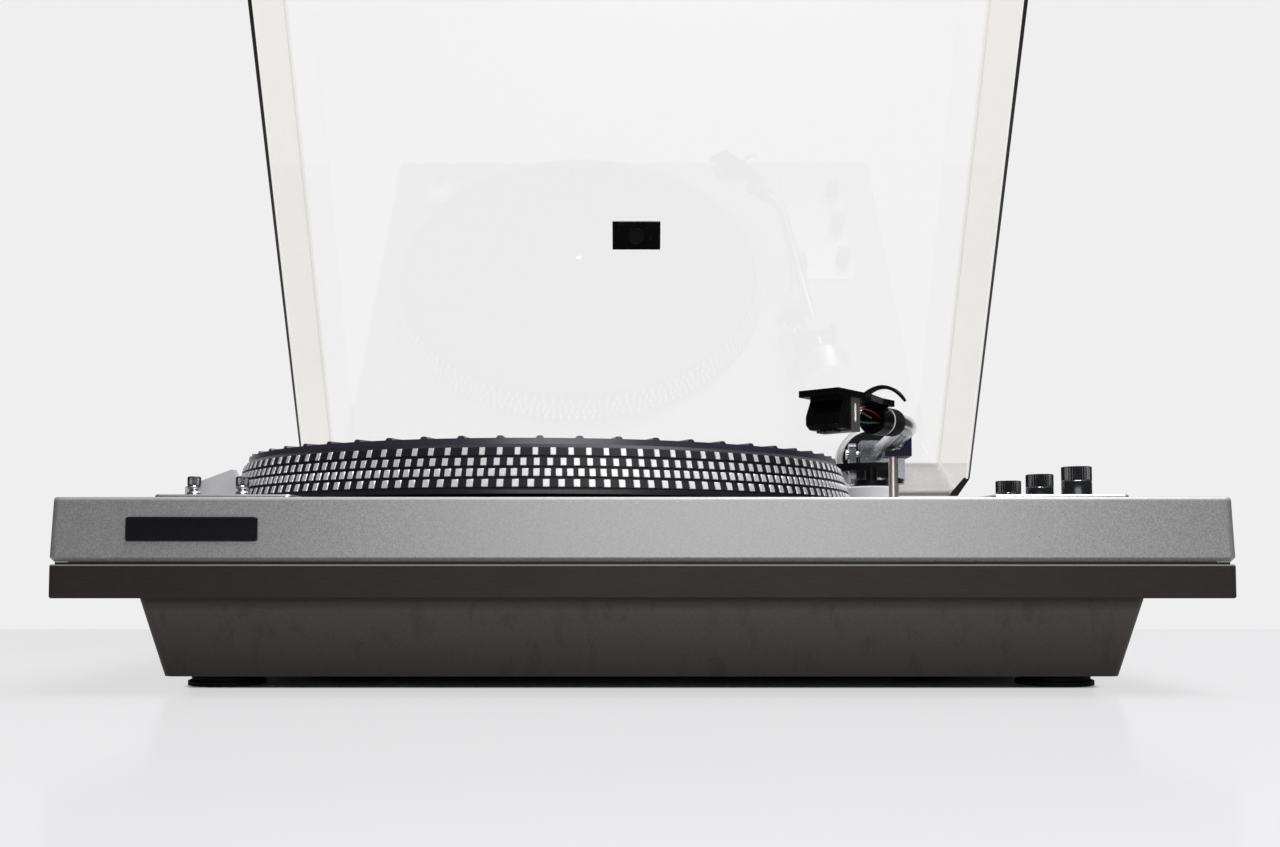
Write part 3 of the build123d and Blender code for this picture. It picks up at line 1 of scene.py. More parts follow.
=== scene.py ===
"""Looks for a record player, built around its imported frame.

The frame's pieces keep their shapes and get their finishes here. The strobe dots, the knobs, the lock collar,
the finger lift, the head leads, the clip's beads, the lid's edges, the pad's button and the dial's marks are
surfaces worked out with numpy. Lengths in the tables are millimetres; everything in the scene is metres.
"""

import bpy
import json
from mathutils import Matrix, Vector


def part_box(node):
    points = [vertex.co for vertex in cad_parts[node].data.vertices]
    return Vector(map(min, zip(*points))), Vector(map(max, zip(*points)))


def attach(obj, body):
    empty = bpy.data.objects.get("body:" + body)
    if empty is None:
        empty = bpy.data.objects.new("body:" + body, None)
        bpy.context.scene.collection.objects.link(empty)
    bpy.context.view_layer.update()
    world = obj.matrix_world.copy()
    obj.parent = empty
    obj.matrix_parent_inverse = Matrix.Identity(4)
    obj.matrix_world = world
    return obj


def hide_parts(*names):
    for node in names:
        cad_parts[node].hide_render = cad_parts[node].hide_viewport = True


bl_info = {
    "name": "Record player looks",
    "version": (1, 0, 0),
    "blender": (4, 5, 0),
    "location": "View3D > Sidebar > Record player",
    "description": "Finishes, small pieces and a studio stage for the packed record player",
    "category": "Object",
}

import json
import math

import bmesh
import bpy
import numpy as np
from mathutils import Matrix, Vector

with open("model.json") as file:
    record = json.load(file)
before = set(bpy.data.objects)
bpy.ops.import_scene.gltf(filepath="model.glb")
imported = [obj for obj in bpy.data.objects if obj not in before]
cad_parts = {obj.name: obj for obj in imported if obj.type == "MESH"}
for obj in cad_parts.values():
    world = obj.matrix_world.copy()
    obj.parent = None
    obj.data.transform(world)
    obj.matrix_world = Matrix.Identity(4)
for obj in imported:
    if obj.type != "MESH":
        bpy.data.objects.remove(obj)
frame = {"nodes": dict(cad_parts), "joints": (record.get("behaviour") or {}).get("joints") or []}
NODES = frame["nodes"]
JOINTS = {joint["name"]: joint for joint in frame["joints"]}
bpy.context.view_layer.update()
MM = 0.001
# the two sides of a mirrored piece, with their signs across
SIDES = (("right", 1), ("left", -1))
FRONT_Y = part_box("top_cover")[0].y
DECK_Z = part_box("right_panel")[0].z
# middle and half height of the rounding along the cover's upper edge, where a highlight is painted
COVER_EDGE_Z, COVER_EDGE_HALF = DECK_Z - 0.00065, 0.0006
# middle and half height of the chamfer along the slab's upper edge, 25 mm under the deck, where a highlight
# is painted
SLAB_EDGE_Z, SLAB_EDGE_HALF = DECK_Z - 0.02525, 0.0003


def linear(code):
    """Turns an sRGB hex colour such as "#B0B0AE" into linear red, green, blue and alpha 1."""
    part = np.array([int(code[i : i + 2], 16) for i in (1, 3, 5)]) / 255
    part = np.where(part <= 0.04045, part / 12.92, ((part + 0.055) / 1.055) ** 2.4)
    return (*part.tolist(), 1.0)


# What a user would change


class TurntableSizes(bpy.types.PropertyGroup):
    """Sizes of the pieces that are made here."""

    dot_rise: bpy.props.FloatProperty(
        name="Dot rise", description="How far a dot stands out of the rim", default=0.00035, unit="LENGTH"
    )
    dot_width_top: bpy.props.FloatProperty(
        name="Top dot width", description="Width of a dot in the top row", default=0.0023, unit="LENGTH"
    )
    dot_width_low: bpy.props.FloatProperty(
        name="Bottom dot width", description="Width of a dot in the bottom row", default=0.0027, unit="LENGTH"
    )
    flute_count: bpy.props.IntProperty(
        name="Flutes", description="Flutes round a control knob's cap", default=36, min=8
    )
    flute_depth: bpy.props.FloatProperty(
        name="Flute depth", description="Depth of a flute in a control knob", default=0.00045, unit="LENGTH"
    )
    knurl_count: bpy.props.IntProperty(
        name="Knurls", description="Knurls round the lock collar", default=56, min=8
    )
    lead_radius: bpy.props.FloatProperty(
        name="Lead radius", description="Radius of a head lead", default=0.00038, unit="LENGTH"
    )
    # the lid's edge skin is a dark sheet of painted shade on its rim
    edge_skin: bpy.props.FloatProperty(
        name="Edge skin", description="Thickness of the lid's edge skin", default=0.00008, unit="LENGTH"
    )


class TurntableColours(bpy.types.PropertyGroup):
    """Colours of the main finishes."""

    cover: bpy.props.FloatVectorProperty(
        name="Cover", description="Lacquer of the cover", default=linear("#9B9B9B"), size=4, subtype="COLOR"
    )
    slab: bpy.props.FloatVectorProperty(
        name="Slab", description="Board under the cover", default=linear("#2C2726"), size=4, subtype="COLOR"
    )
    base: bpy.props.FloatVectorProperty(
        name="Base", description="Tapered lower base", default=linear("#655E5D"), size=4, subtype="COLOR"
    )
    platter: bpy.props.FloatVectorProperty(
        name="Platter", description="Enamel of the rim", default=linear("#1B1822"), size=4, subtype="COLOR"
    )
    dots: bpy.props.FloatVectorProperty(
        name="Dots", description="Polished strobe dots", default=linear("#ECECEE"), size=4, subtype="COLOR"
    )
    pod: bpy.props.FloatVectorProperty(
        name="Pod", description="Moulded strobe pod", default=linear("#BFBFC1"), size=4, subtype="COLOR"
    )


class TurntableStage(bpy.types.PropertyGroup):
    """Camera and light of the stage."""

    lens: bpy.props.FloatProperty(
        name="Lens", description="Focal length on a 36 mm sensor", default=34.78, subtype="DISTANCE_CAMERA"
    )
    distance: bpy.props.FloatProperty(
        name="Distance", description="From the camera to the front face", default=0.457, unit="LENGTH"
    )
    eye_height: bpy.props.FloatProperty(
        name="Eye height", description="Height of the camera over the floor", default=0.0505, unit="LENGTH"
    )
    pitch: bpy.props.FloatProperty(
        name="Pitch", description="How far the camera looks up", default=math.radians(3), subtype="ANGLE"
    )
    side_step: bpy.props.FloatProperty(
        name="Side step", description="Camera's place right of the middle", default=-0.0053, unit="LENGTH"
    )
    side_shift: bpy.props.FloatProperty(
        name="Side shift", description="Lens shift right, in picture widths", default=0.0092, precision=4
    )
    horizon_shift: bpy.props.FloatProperty(
        name="Horizon shift", description="Rise of the lens, in picture widths", default=0.0563, precision=4
    )
    top_light: bpy.props.FloatProperty(
        name="Top light", description="Power of the soft light overhead", default=20.0, unit="POWER"
    )
    front_light: bpy.props.FloatProperty(
        name="Front light", description="Power of the soft light before the object", default=1.2, unit="POWER"
    )
    room_light: bpy.props.FloatProperty(
        name="Room light", description="Strength of the light from all sides", default=0.34
    )


# Finishes


def add(tree, kind, sockets=None, **settings):
    """Adds one shader node, its kind given without Blender's ShaderNode in front. A socket that is given
    another node's output is linked, and any other value is set on it."""
    node = tree.nodes.new("ShaderNode" + kind)
    for key, value in settings.items():
        setattr(node, key, value)
    for key, value in (sockets or {}).items():
        if isinstance(value, bpy.types.NodeSocket):
            tree.links.new(value, node.inputs[key])
        else:
            node.inputs[key].default_value = value
    return node


def start_finish(name, sockets):
    """Starts a material with one Principled shader, whose sockets given here are the same all over."""
    material = bpy.data.materials.new(name)
    material.use_nodes = True
    tree = material.node_tree
    tree.nodes.clear()
    shader = add(tree, "BsdfPrincipled", sockets)
    add(tree, "OutputMaterial", {"Surface": shader.outputs["BSDF"]})
    place = add(tree, "TexCoord").outputs["Object"]
    return material, tree, shader, place


def painted_highlight_edge(tree, place, tint, middle, half, highlight_colour):
    """Mixes the coat's tint with a painted highlight along its upper edge, where the height is within half of
    the middle."""
    height = add(tree, "SeparateXYZ", {"Vector": place})
    edge = add(tree, "Math", {0: height.outputs["Z"], 1: middle, 2: half}, operation="COMPARE")
    return add(tree, "Mix", {0: edge.outputs[0], 6: tint.outputs[2], 7: highlight_colour}, data_type="RGBA")


def flake_lacquer():
    """Aluminium-flake lacquer sprayed on a moulding: each flake lies at its own tilt, so the silver is
    full of fine light and dark specks, and a highlight is painted along the rounded upper edge. Real flakes
    are about 0.05 mm; they are drawn 0.4 mm to show."""
    flake = 0.0004
    material, tree, shader, place = start_finish("aluminium_flake_lacquer", {"Metallic": 0.6})
    flakes = add(tree, "TexVoronoi", {"Vector": place, "Scale": 1 / flake})
    base = np.array(bpy.context.scene.turntable_colours.cover[:3])
    tint = add(
        tree,
        "Mix",
        {0: flakes.outputs["Color"], 6: (*(base * 0.74), 1), 7: (*np.minimum(base * 1.26, 1), 1)},
        data_type="RGBA",
    )
    # colour of the painted highlight along the upper edge, brighter than the lacquer
    bright = (*np.minimum(base * 1.6, 1), 1)
    painted_highlight = painted_highlight_edge(tree, place, tint, COVER_EDGE_Z, COVER_EDGE_HALF, bright)
    rough = add(tree, "MapRange", {"Value": flakes.outputs["Color"], "To Min": 0.42, "To Max": 0.56})
    bump = add(tree, "Bump", {"Height": flakes.outputs["Color"], "Strength": 0.12, "Distance": flake / 4})
    tree.links.new(painted_highlight.outputs[2], shader.inputs["Base Color"])
    tree.links.new(rough.outputs[0], shader.inputs["Roughness"])
    tree.links.new(bump.outputs[0], shader.inputs["Normal"])
    return material


def melamine_board():
    """Dark melamine film on particle board: a satin face with a fine print of short grains along its
    length, about 6 mm by 0.7 mm, or 160 and 1400 to the metre. Along the upper edge a pale line is a
    painted highlight."""
    material, tree, shader, place = start_finish(
        "dark_melamine_board", {"IOR": 1.5, "Specular IOR Level": 0.2}
    )
    along = add(tree, "Mapping", {"Vector": place, "Scale": (160, 1400, 1400)})
    grain = add(tree, "TexNoise", {"Vector": along.outputs[0], "Scale": 1.0, "Detail": 3.0})
    patch = add(tree, "TexNoise", {"Vector": place, "Scale": 1 / 0.04, "Detail": 4.0})
    base = np.array(bpy.context.scene.turntable_colours.slab[:3])
    tint = add(
        tree,
        "Mix",
        {0: grain.outputs["Fac"], 6: (*(base * 0.7), 1), 7: (*(base * 1.3), 1)},
        data_type="RGBA",
    )
    # pale painted highlight along the slab's upper chamfer
    painted_highlight = painted_highlight_edge(tree, place, tint, SLAB_EDGE_Z, SLAB_EDGE_HALF, linear("#7E7B79"))
    rough = add(tree, "MapRange", {"Value": patch.outputs["Fac"], "To Min": 0.5, "To Max": 0.66})
    bump = add(tree, "Bump", {"Height": grain.outputs["Fac"], "Strength": 0.08, "Distance": 0.0002})
    tree.links.new(painted_highlight.outputs[2], shader.inputs["Base Color"])
    tree.links.new(rough.outputs[0], shader.inputs["Roughness"])
    tree.links.new(bump.outputs[0], shader.inputs["Normal"])
    return material


def grained_abs():
    """Injection-moulded ABS with a fine spark grain of about 0.7 mm. Painted shade darkens it towards the
    table, from 36 mm down to 6 mm over it, and handling leaves smudges, about 8 mm wide and 14 mm high, where
    the grain is smoothed and darker still."""
    material, tree, shader, place = start_finish(
        "grained_abs_base", {"IOR": 1.53, "Specular IOR Level": 0.15}
    )
    grain = add(tree, "TexNoise", {"Vector": place, "Scale": 1 / 0.0007, "Detail": 2.0})
    drip = add(tree, "Mapping", {"Vector": place, "Scale": (130, 130, 70)})
    smudge = add(
        tree, "TexNoise", {"Vector": drip.outputs[0], "Scale": 1.0, "Detail": 5.0, "Roughness": 0.55}
    )
    worn = add(tree, "MapRange", {"Value": smudge.outputs["Fac"], "From Min": 0.56, "From Max": 0.68})
    height = add(tree, "SeparateXYZ", {"Vector": place})
    # painted shade: the colour darkens to a third towards the table
    painted_low_shade = add(tree, "MapRange", {"Value": height.outputs["Z"], "From Min": 0.036, "From Max": 0.006})
    base = np.array(bpy.context.scene.turntable_colours.base[:3])
    shaded_base = add(tree, "Mix", {0: painted_low_shade.outputs[0], 6: (*base, 1), 7: (*(base * 0.34), 1)}, data_type="RGBA")
    tint = add(tree, "Mix", {0: worn.outputs[0], 6: (1, 1, 1, 1), 7: (0.8, 0.8, 0.8, 1)}, data_type="RGBA")
    spread = add(
        tree,
        "Mix",
        {0: 1.0, 6: shaded_base.outputs[2], 7: tint.outputs[2]},
        data_type="RGBA",
        blend_type="MULTIPLY",
    )
    fleck = add(
        tree,
        "Mix",
        {0: 0.25, 6: spread.outputs[2], 7: grain.outputs["Fac"]},
        data_type="RGBA",
        blend_type="SOFT_LIGHT",
    )
    rough = add(tree, "MapRange", {"Value": worn.outputs[0], "To Min": 0.52, "To Max": 0.4})
    bump = add(tree, "Bump", {"Height": grain.outputs["Fac"], "Strength": 0.22, "Distance": 0.0002})
    tree.links.new(fleck.outputs[2], shader.inputs["Base Color"])
    tree.links.new(rough.outputs[0], shader.inputs["Roughness"])
    tree.links.new(bump.outputs[0], shader.inputs["Normal"])
    return material


def speckled(name, code, grain_mm, spread, rough, bump_strength, sockets):
    """A plain moulded, cast, turned or coated finish: a noise of the given grain size moves its colour up and
    down by the spread and its roughness between two values, and raises a slight bump."""
    material, tree, shader, place = start_finish(name, sockets)
    grain = add(tree, "TexNoise", {"Vector": place, "Scale": 1000 / grain_mm, "Detail": 3.0})
    base = np.array(linear(code)[:3])
    tint = add(
        tree,
        "Mix",
        {
            0: grain.outputs["Fac"],
            6: (*(base * (1 - spread)), 1),
            7: (*np.minimum(base * (1 + spread), 1), 1),
        },
        data_type="RGBA",
    )
    gloss = add(tree, "MapRange", {"Value": grain.outputs["Fac"], "To Min": rough[0], "To Max": rough[1]})
    bump = add(
        tree,
        "Bump",
        {"Height": grain.outputs["Fac"], "Strength": bump_strength, "Distance": grain_mm * 0.0002},
    )
    tree.links.new(tint.outputs[2], shader.inputs["Base Color"])
    tree.links.new(gloss.outputs[0], shader.inputs["Roughness"])
    tree.links.new(bump.outputs[0], shader.inputs["Normal"])
    return material


def brushed_aluminium():
    """Anodised aluminium sheet brushed from left to right: hair lines 0.15 mm apart and some 40 mm long
    stretch every highlight across them."""
    material, tree, shader, place = start_finish("brushed_aluminium_sheet", {"Metallic": 1.0})
    along = add(tree, "Mapping", {"Vector": place, "Scale": (25, 6600, 6600)})
    hair = add(tree, "TexNoise", {"Vector": along.outputs[0], "Scale": 1.0, "Detail": 2.0})
    tint = add(
        tree, "Mix", {0: hair.outputs["Fac"], 6: linear("#AFAFAE"), 7: linear("#DADAD9")}, data_type="RGBA"
    )
    rough = add(tree, "MapRange", {"Value": hair.outputs["Fac"], "To Min": 0.26, "To Max": 0.42})
    bump = add(tree, "Bump", {"Height": hair.outputs["Fac"], "Strength": 0.1, "Distance": 0.00005})
    tree.links.new(tint.outputs[2], shader.inputs["Base Color"])
    tree.links.new(rough.outputs[0], shader.inputs["Roughness"])
    tree.links.new(bump.outputs[0], shader.inputs["Normal"])
    return material


def clear_acrylic():
    """Cast acrylic sheet, clear and polished: an anti-static coat takes most of the mirror off its faces.
    The side walls are looked through at a slant and show its warm tint; the back wall's grey, nearly opaque
    along its lowest band, is a painted reflection; the polished rim glows with painted light in place of the
    light piped down the sheet, and hair scratches, 1 mm by 16 mm, dull the rest a little. Each stretch is
    given, in the shut lid's frame, from where it starts to where it is full."""
    side_wall, back_wall = (0.2105, 0.2118), (-0.0095, -0.0085)
    # heights of the back wall's painted reflection band and of the rim's painted glow
    painted_reflection_edge, rim = (0.0195, 0.0185), (-0.00605, -0.0062)
    material, tree, shader, place = start_finish(
        "cast_acrylic_sheet", {"IOR": 1.49, "Specular IOR Level": 0.03}
    )
    shut = opened_lid().inverted()
    turned_back = add(
        tree, "Mapping", {"Vector": place, "Rotation": shut.to_euler(), "Location": shut.to_translation()}
    )
    axes = add(tree, "SeparateXYZ", {"Vector": turned_back.outputs[0]})
    out = add(tree, "Math", {0: axes.outputs["X"]}, operation="ABSOLUTE")
    side = add(
        tree, "MapRange", {"Value": out.outputs[0], "From Min": side_wall[0], "From Max": side_wall[1]}
    )
    back = add(
        tree, "MapRange", {"Value": axes.outputs["Y"], "From Min": back_wall[0], "From Max": back_wall[1]}
    )
    sides = add(
        tree, "Mix", {0: side.outputs[0], 6: linear("#FFFFFF"), 7: linear("#F5F2EE")}, data_type="RGBA"
    )
    # the back wall's grey is a painted reflection
    walls = add(
        tree, "Mix", {0: back.outputs[0], 6: sides.outputs[2], 7: linear("#C2C0BD")}, data_type="RGBA"
    )
    slanting = add(tree, "Mapping", {"Vector": place, "Scale": (900, 60, 60), "Rotation": (0.3, 0.4, 0.5)})
    scratch = add(tree, "TexNoise", {"Vector": slanting.outputs[0], "Scale": 1.0, "Detail": 4.0})
    rough = add(
        tree,
        "MapRange",
        {"Value": scratch.outputs["Fac"], "From Min": 0.6, "From Max": 0.85, "To Min": 0.0, "To Max": 0.04},
    )
    # the back wall's lowest band turns nearly opaque grey: a painted reflection
    low = add(
        tree, "MapRange", {"Value": axes.outputs["Z"], "From Min": painted_reflection_edge[0], "From Max": painted_reflection_edge[1]}
    )
    painted_reflection = add(tree, "Math", {0: low.outputs[0], 1: back.outputs[0]}, operation="MULTIPLY")
    clear = add(tree, "MapRange", {"Value": painted_reflection.outputs[0], "To Min": 1.0, "To Max": 0.1})
    # painted glow on the rim, though the sheet is no lamp
    glow = add(
        tree,
        "MapRange",
        {"Value": axes.outputs["Z"], "From Min": rim[0], "From Max": rim[1], "To Min": 0.0, "To Max": 0.75},
    )
    tree.links.new(walls.outputs[2], shader.inputs["Base Color"])
    tree.links.new(rough.outputs[0], shader.inputs["Roughness"])
    tree.links.new(clear.outputs[0], shader.inputs["Transmission Weight"])
    tree.links.new(glow.outputs[0], shader.inputs["Emission Strength"])
    return material


def cut_edge():
    """Polished edge of clear sheet: seen end on it gathers little light, so its dark line is painted shade,
    which pales with painted light towards the hinge, where it looks through to the bright table. Saw marks
    1.5 mm apart vary it."""
    pale_z, dark_z = 0.13, 0.36
    material, tree, shader, place = start_finish(
        "acrylic_cut_edge", {"IOR": 1.49, "Specular IOR Level": 0.2}
    )
    saw = add(tree, "TexNoise", {"Vector": place, "Scale": 1 / 0.0015, "Detail": 2.0})
    axes = add(tree, "SeparateXYZ", {"Vector": place})
    # painted shade high up, paling with painted light towards the hinge
    high = add(tree, "MapRange", {"Value": axes.outputs["Z"], "From Min": pale_z, "From Max": dark_z})
    tint = add(
        tree, "Mix", {0: high.outputs[0], 6: linear("#605F57"), 7: linear("#1F1F1D")}, data_type="RGBA"
    )
    rough = add(tree, "MapRange", {"Value": saw.outputs["Fac"], "To Min": 0.2, "To Max": 0.4})
    tree.links.new(tint.outputs[2], shader.inputs["Base Color"])
    tree.links.new(rough.outputs[0], shader.inputs["Roughness"])
    return material


# Plain finishes: sRGB, grain in mm, colour spread, roughness range, bump and the shader's sockets
PLAIN = {
    # moulded rubber: dull, dusty, with a fine pebble
    "moulded_rubber": ("#080809", 0.5, 0.35, (0.6, 0.8), 0.2, {"IOR": 1.52, "Specular IOR Level": 0.1}),
    # ribbed mat rubber: calendered, so its ribs catch a soft sheen
    "ribbed_mat_rubber": ("#2B2A38", 0.8, 0.25, (0.3, 0.42), 0.12, {"IOR": 1.52, "Specular IOR Level": 0.75}),
    # stamped aluminium under black gloss lacquer: deep black with a clear highlight
    "black_lacquered_plate": (
        "#131418", 2.0, 0.12, (0.16, 0.24), 0.02, {"IOR": 1.5, "Specular IOR Level": 0.35}
    ),
    # polished chrome on brass: mirror bright, with the faint waves of polishing
    "polished_chrome": ("#D6D7DA", 6.0, 0.03, (0.05, 0.1), 0.01, {"Metallic": 1.0}),
    # chromed tube of the arm: bright, but polished by hand, so what it mirrors is soft
    "soft_chrome_tube": ("#D6D7DA", 6.0, 0.03, (0.2, 0.28), 0.01, {"Metallic": 1.0}),
    # dark nickel of knurled grips and of the arm's bearing: a grey mirror, blurred
    "dark_nickel": ("#6A6B70", 2.5, 0.06, (0.24, 0.32), 0.02, {"Metallic": 1.0}),
    # nickel-plated clip of the cartridge: pressed sheet, half bright, half matt
    "pressed_nickel_clip": ("#646260", 1.5, 0.2, (0.28, 0.4), 0.04, {"Metallic": 0.4}),
    # bright cut aluminium of the collar's ring and the clip's beads: near white; on the beads it is a painted
    # highlight
    "bright_cut_ring": ("#F0F0F2", 0.4, 0.05, (0.3, 0.4), 0.03, {"Metallic": 0.4}),
    # machined steel: turned, with fine tool lines
    "machined_steel": ("#9A9B9E", 0.4, 0.1, (0.25, 0.4), 0.06, {"Metallic": 1.0}),
    # satin anodised aluminium: bead blasted, even and pale
    "satin_anodised_aluminium": ("#DADADD", 0.4, 0.06, (0.3, 0.42), 0.05, {"Metallic": 1.0}),
    # glossy black ABS, with a few handling marks
    "gloss_black_abs": ("#060607", 3.0, 0.2, (0.22, 0.34), 0.02, {"IOR": 1.53, "Specular IOR Level": 0.14}),
    # fluted black ABS of the control knobs: a soft sheen picks out every flute
    "fluted_black_abs": ("#1C1D21", 0.6, 0.2, (0.22, 0.3), 0.03, {"IOR": 1.53, "Specular IOR Level": 0.42}),
    # satin black ABS: spark grained in the mould, so it stays dark from every side
    "satin_black_abs": ("#09090A", 0.6, 0.25, (0.38, 0.52), 0.1, {"IOR": 1.53, "Specular IOR Level": 0.16}),
    # blue-black nylon of the arm's saddle: the blue shows only where light falls on it
    "blue_black_nylon": ("#090B2E", 0.8, 0.25, (0.34, 0.46), 0.05, {"IOR": 1.53, "Specular IOR Level": 0.1}),
    # frosted window of the strobe: pale, so that it spreads the lamp's light over the rim
    "frosted_acrylic_window": ("#C9C9CC", 0.6, 0.06, (0.4, 0.55), 0.04, {"IOR": 1.49}),
    # pale grey ABS of the lift's pedestal: almost white, with a soft grain
    "pale_grey_abs": ("#F2F2F5", 0.5, 0.05, (0.4, 0.52), 0.06, {"IOR": 1.53}),
    # satin nickel on the rest's post: brushed round, a touch warm
    "satin_nickel": ("#C6C1B8", 0.4, 0.08, (0.32, 0.44), 0.05, {"Metallic": 0.85}),
    # enamelled copper wire: red-brown metal under clear gloss
    "enamelled_copper": ("#9A5424", 0.4, 0.2, (0.25, 0.4), 0.2, {"Metallic": 0.8, "Coat Weight": 0.4}),
    # stacked silicon-steel laminations: dull dark grey, uneven from sheet to sheet
    "silicon_steel_stack": ("#55565A", 0.5, 0.25, (0.4, 0.6), 0.2, {"Metallic": 0.8}),
    # glass-epoxy circuit board: green and half gloss
    "glass_epoxy_board": ("#24502F", 0.8, 0.15, (0.35, 0.5), 0.06, {"IOR": 1.55}),
    # marking paint: chalky white
    "white_marking_paint": ("#E6E6E2", 0.3, 0.05, (0.4, 0.55), 0.05, {"IOR": 1.5}),
    # PVC sleeves of the four head leads: soft colours, half gloss
    "red_pvc_lead": ("#8E1418", 0.5, 0.08, (0.3, 0.42), 0.03, {"IOR": 1.53}),
    "green_pvc_lead": ("#144F2A", 0.5, 0.08, (0.3, 0.42), 0.03, {"IOR": 1.53}),
    "white_pvc_lead": ("#77746E", 0.5, 0.05, (0.3, 0.42), 0.03, {"IOR": 1.53}),
    "blue_pvc_lead": ("#18245E", 0.5, 0.08, (0.3, 0.42), 0.03, {"IOR": 1.53}),
}
# Plain finishes whose colour a user may change: the colour's property, then the same values
COLOURED = {
    # satin black enamel on the cast platter, a touch violet
    "black_enamelled_casting": (
        "platter", 0.7, 0.2, (0.3, 0.44), 0.06, {"IOR": 1.5, "Specular IOR Level": 0.35}
    ),
    # diamond-turned dots: the bare aluminium shows, near white under a soft light
    "turned_aluminium_dots": ("dots", 0.5, 0.05, (0.34, 0.48), 0.04, {"Metallic": 0.5}),
    # grey ABS of the strobe pod: even and half matt
    "grey_abs_pod": ("pod", 0.5, 0.08, (0.36, 0.5), 0.08, {"IOR": 1.53}),
}
# Finishes with a pattern of their own
PATTERNED = {
    "aluminium_flake_lacquer": flake_lacquer,
    "dark_melamine_board": melamine_board,
    "grained_abs_base": grained_abs,
    "brushed_aluminium_sheet": brushed_aluminium,
    "cast_acrylic_sheet": clear_acrylic,
    "acrylic_cut_edge": cut_edge,
}


def hex_of(colour):
    """Gives the sRGB hex code of a linear colour property."""
    part = np.clip(np.array(colour[:3]), 0, 1)
    part = np.where(part <= 0.0031308, part * 12.92, 1.055 * part ** (1 / 2.4) - 0.055)
    return "#" + "".join(f"{round(x * 255):02X}" for x in part.tolist())


def finish(name):
    """Gives the material of that name, making it the first time it is asked for."""
    if name in bpy.data.materials:
        return bpy.data.materials[name]
    if name in PATTERNED:
        return PATTERNED[name]()
    if name in COLOURED:
        colour, *values = COLOURED[name]
        return speckled(name, hex_of(getattr(bpy.context.scene.turntable_colours, colour)), *values)
    return speckled(name, *PLAIN[name])


def dress(material, *names):
    """Puts a finish on CAD nodes, in place of the plain material that they were packed with."""
    for name in names:
        mesh = NODES[name].data
        mesh.materials.clear()
        mesh.materials.append(finish(material))


# Surfaces


def grid_faces(rows, columns, wrap_rows=False):
    """Quads of a grid of points whose columns run round a ring; wrap_rows joins the last row to the first."""
    index = np.arange(rows * columns).reshape(rows, columns)
    upper = np.roll(index, -1, axis=0) if wrap_rows else index[1:]
    lower = index if wrap_rows else index[:-1]
    quads = [lower, np.roll(lower, -1, axis=1), np.roll(upper, -1, axis=1), upper]
    return np.stack(quads, axis=-1).reshape(-1, 4).tolist()


def capped(points):
    """Faces of a skin through rings of points, points[row, column], closed by a flat face at each end."""
    rows, columns = points.shape[:2]
    ends = [list(range(columns))[::-1], list(range((rows - 1) * columns, rows * columns))]
    return grid_faces(rows, columns) + ends


def round_angles(count):
    """Equal angles once round, from 0."""
    return np.linspace(0, 2 * np.pi, count, endpoint=False)


def turned(profile, around, ripple=0.0):
    """Surface of revolution about Z: the point at row j and angle i has radius r_j less the ripple there,
    and height z_j. The profile is pairs of radius and height in millimetres."""
    radius, height = np.array(profile, float).T * MM
    angle = round_angles(around)
    radius = radius[:, None] - ripple * np.ones((1, around))
    height = np.broadcast_to(height[:, None], radius.shape)
    return np.stack([radius * np.cos(angle), radius * np.sin(angle), height], axis=-1)


def grooved(profile, depth, rows):
    """Surface of revolution about Z, whose given rows dip by the depth at each angle; the rest stay round."""
    cut = np.zeros((len(profile), 1))
    cut[rows] = 1.0
    return turned(profile, len(depth), cut * depth)


def swept(path, radius, around, flat=1.0):
    """A tube along a path: at each point, a ring of the given radius stands square to the path's direction;
    flat squeezes the ring's second half-axis. The radius and flat may change along the path."""
    ahead = np.gradient(path, axis=0)
    ahead /= np.linalg.norm(ahead, axis=1, keepdims=True)
    # a direction that the path stays clear of, from which the rings are laid out
    steep = abs(ahead[:, 2]).max() >= 0.9
    side = np.cross(ahead, (1.0, 0.0, 0.0) if steep else (0.0, 0.31, 0.95))
    side /= np.linalg.norm(side, axis=1, keepdims=True)
    other = np.cross(side, ahead)
    angle = round_angles(around)
    radius = np.broadcast_to(np.asarray(radius, float), path.shape[:1])[:, None, None]
    flat = np.broadcast_to(np.asarray(flat, float), path.shape[:1])[:, None, None]
    ring = np.cos(angle)[None, :, None] * side[:, None] + flat * np.sin(angle)[None, :, None] * other[:, None]
    return path[:, None] + radius * ring


def bezier(corners, steps):
    """Cubic curve through four control points: the sum of each point times its Bernstein weight."""
    u = np.linspace(0, 1, steps)[:, None]
    a, b, c, d = np.array(corners, float)
    return a * (1 - u) ** 3 + 3 * b * u * (1 - u) ** 2 + 3 * c * u**2 * (1 - u) + d * u**3


def moved(points, matrix):
    """Carries an array of points by a 4 by 4 matrix."""
    matrix = np.array(matrix)
    return points @ matrix[:3, :3].T + matrix[:3, 3]


def upright(joint):
    """Frame of a piece that turns about Z at a joint: origin at the joint, axes as the object's."""
    return Matrix.Translation(Vector(JOINTS[joint]["pos_m"]))


def along(joint):
    """Frame of a piece on the arm: origin at the joint, Y along its axis, Z up."""
    axis = Vector(JOINTS[joint]["axis"])
    across = axis.cross(Vector((0, 0, 1)))
    turn = Matrix((across, axis, across.cross(axis))).transposed().to_4x4()
    return Matrix.Translation(Vector(JOINTS[joint]["pos_m"])) @ turn


def opened_lid():
    """Frame of the lid where it stands open: origin on the hinge, axes as the object's when it is shut."""
    hinge = JOINTS["lid_open"]
    turn = Matrix.Rotation(math.radians(hinge["range_deg"][0]), 4, "X")
    return Matrix.Translation(Vector(hinge["pos_m"])) @ turn


def corners_in(place, node):
    """Corners of a CAD node's mesh, seen in the given frame."""
    mesh = NODES[node].data
    corners = np.empty(3 * len(mesh.vertices), np.float32)
    mesh.vertices.foreach_get("co", corners)
    return moved(corners.reshape(-1, 3), place.inverted())


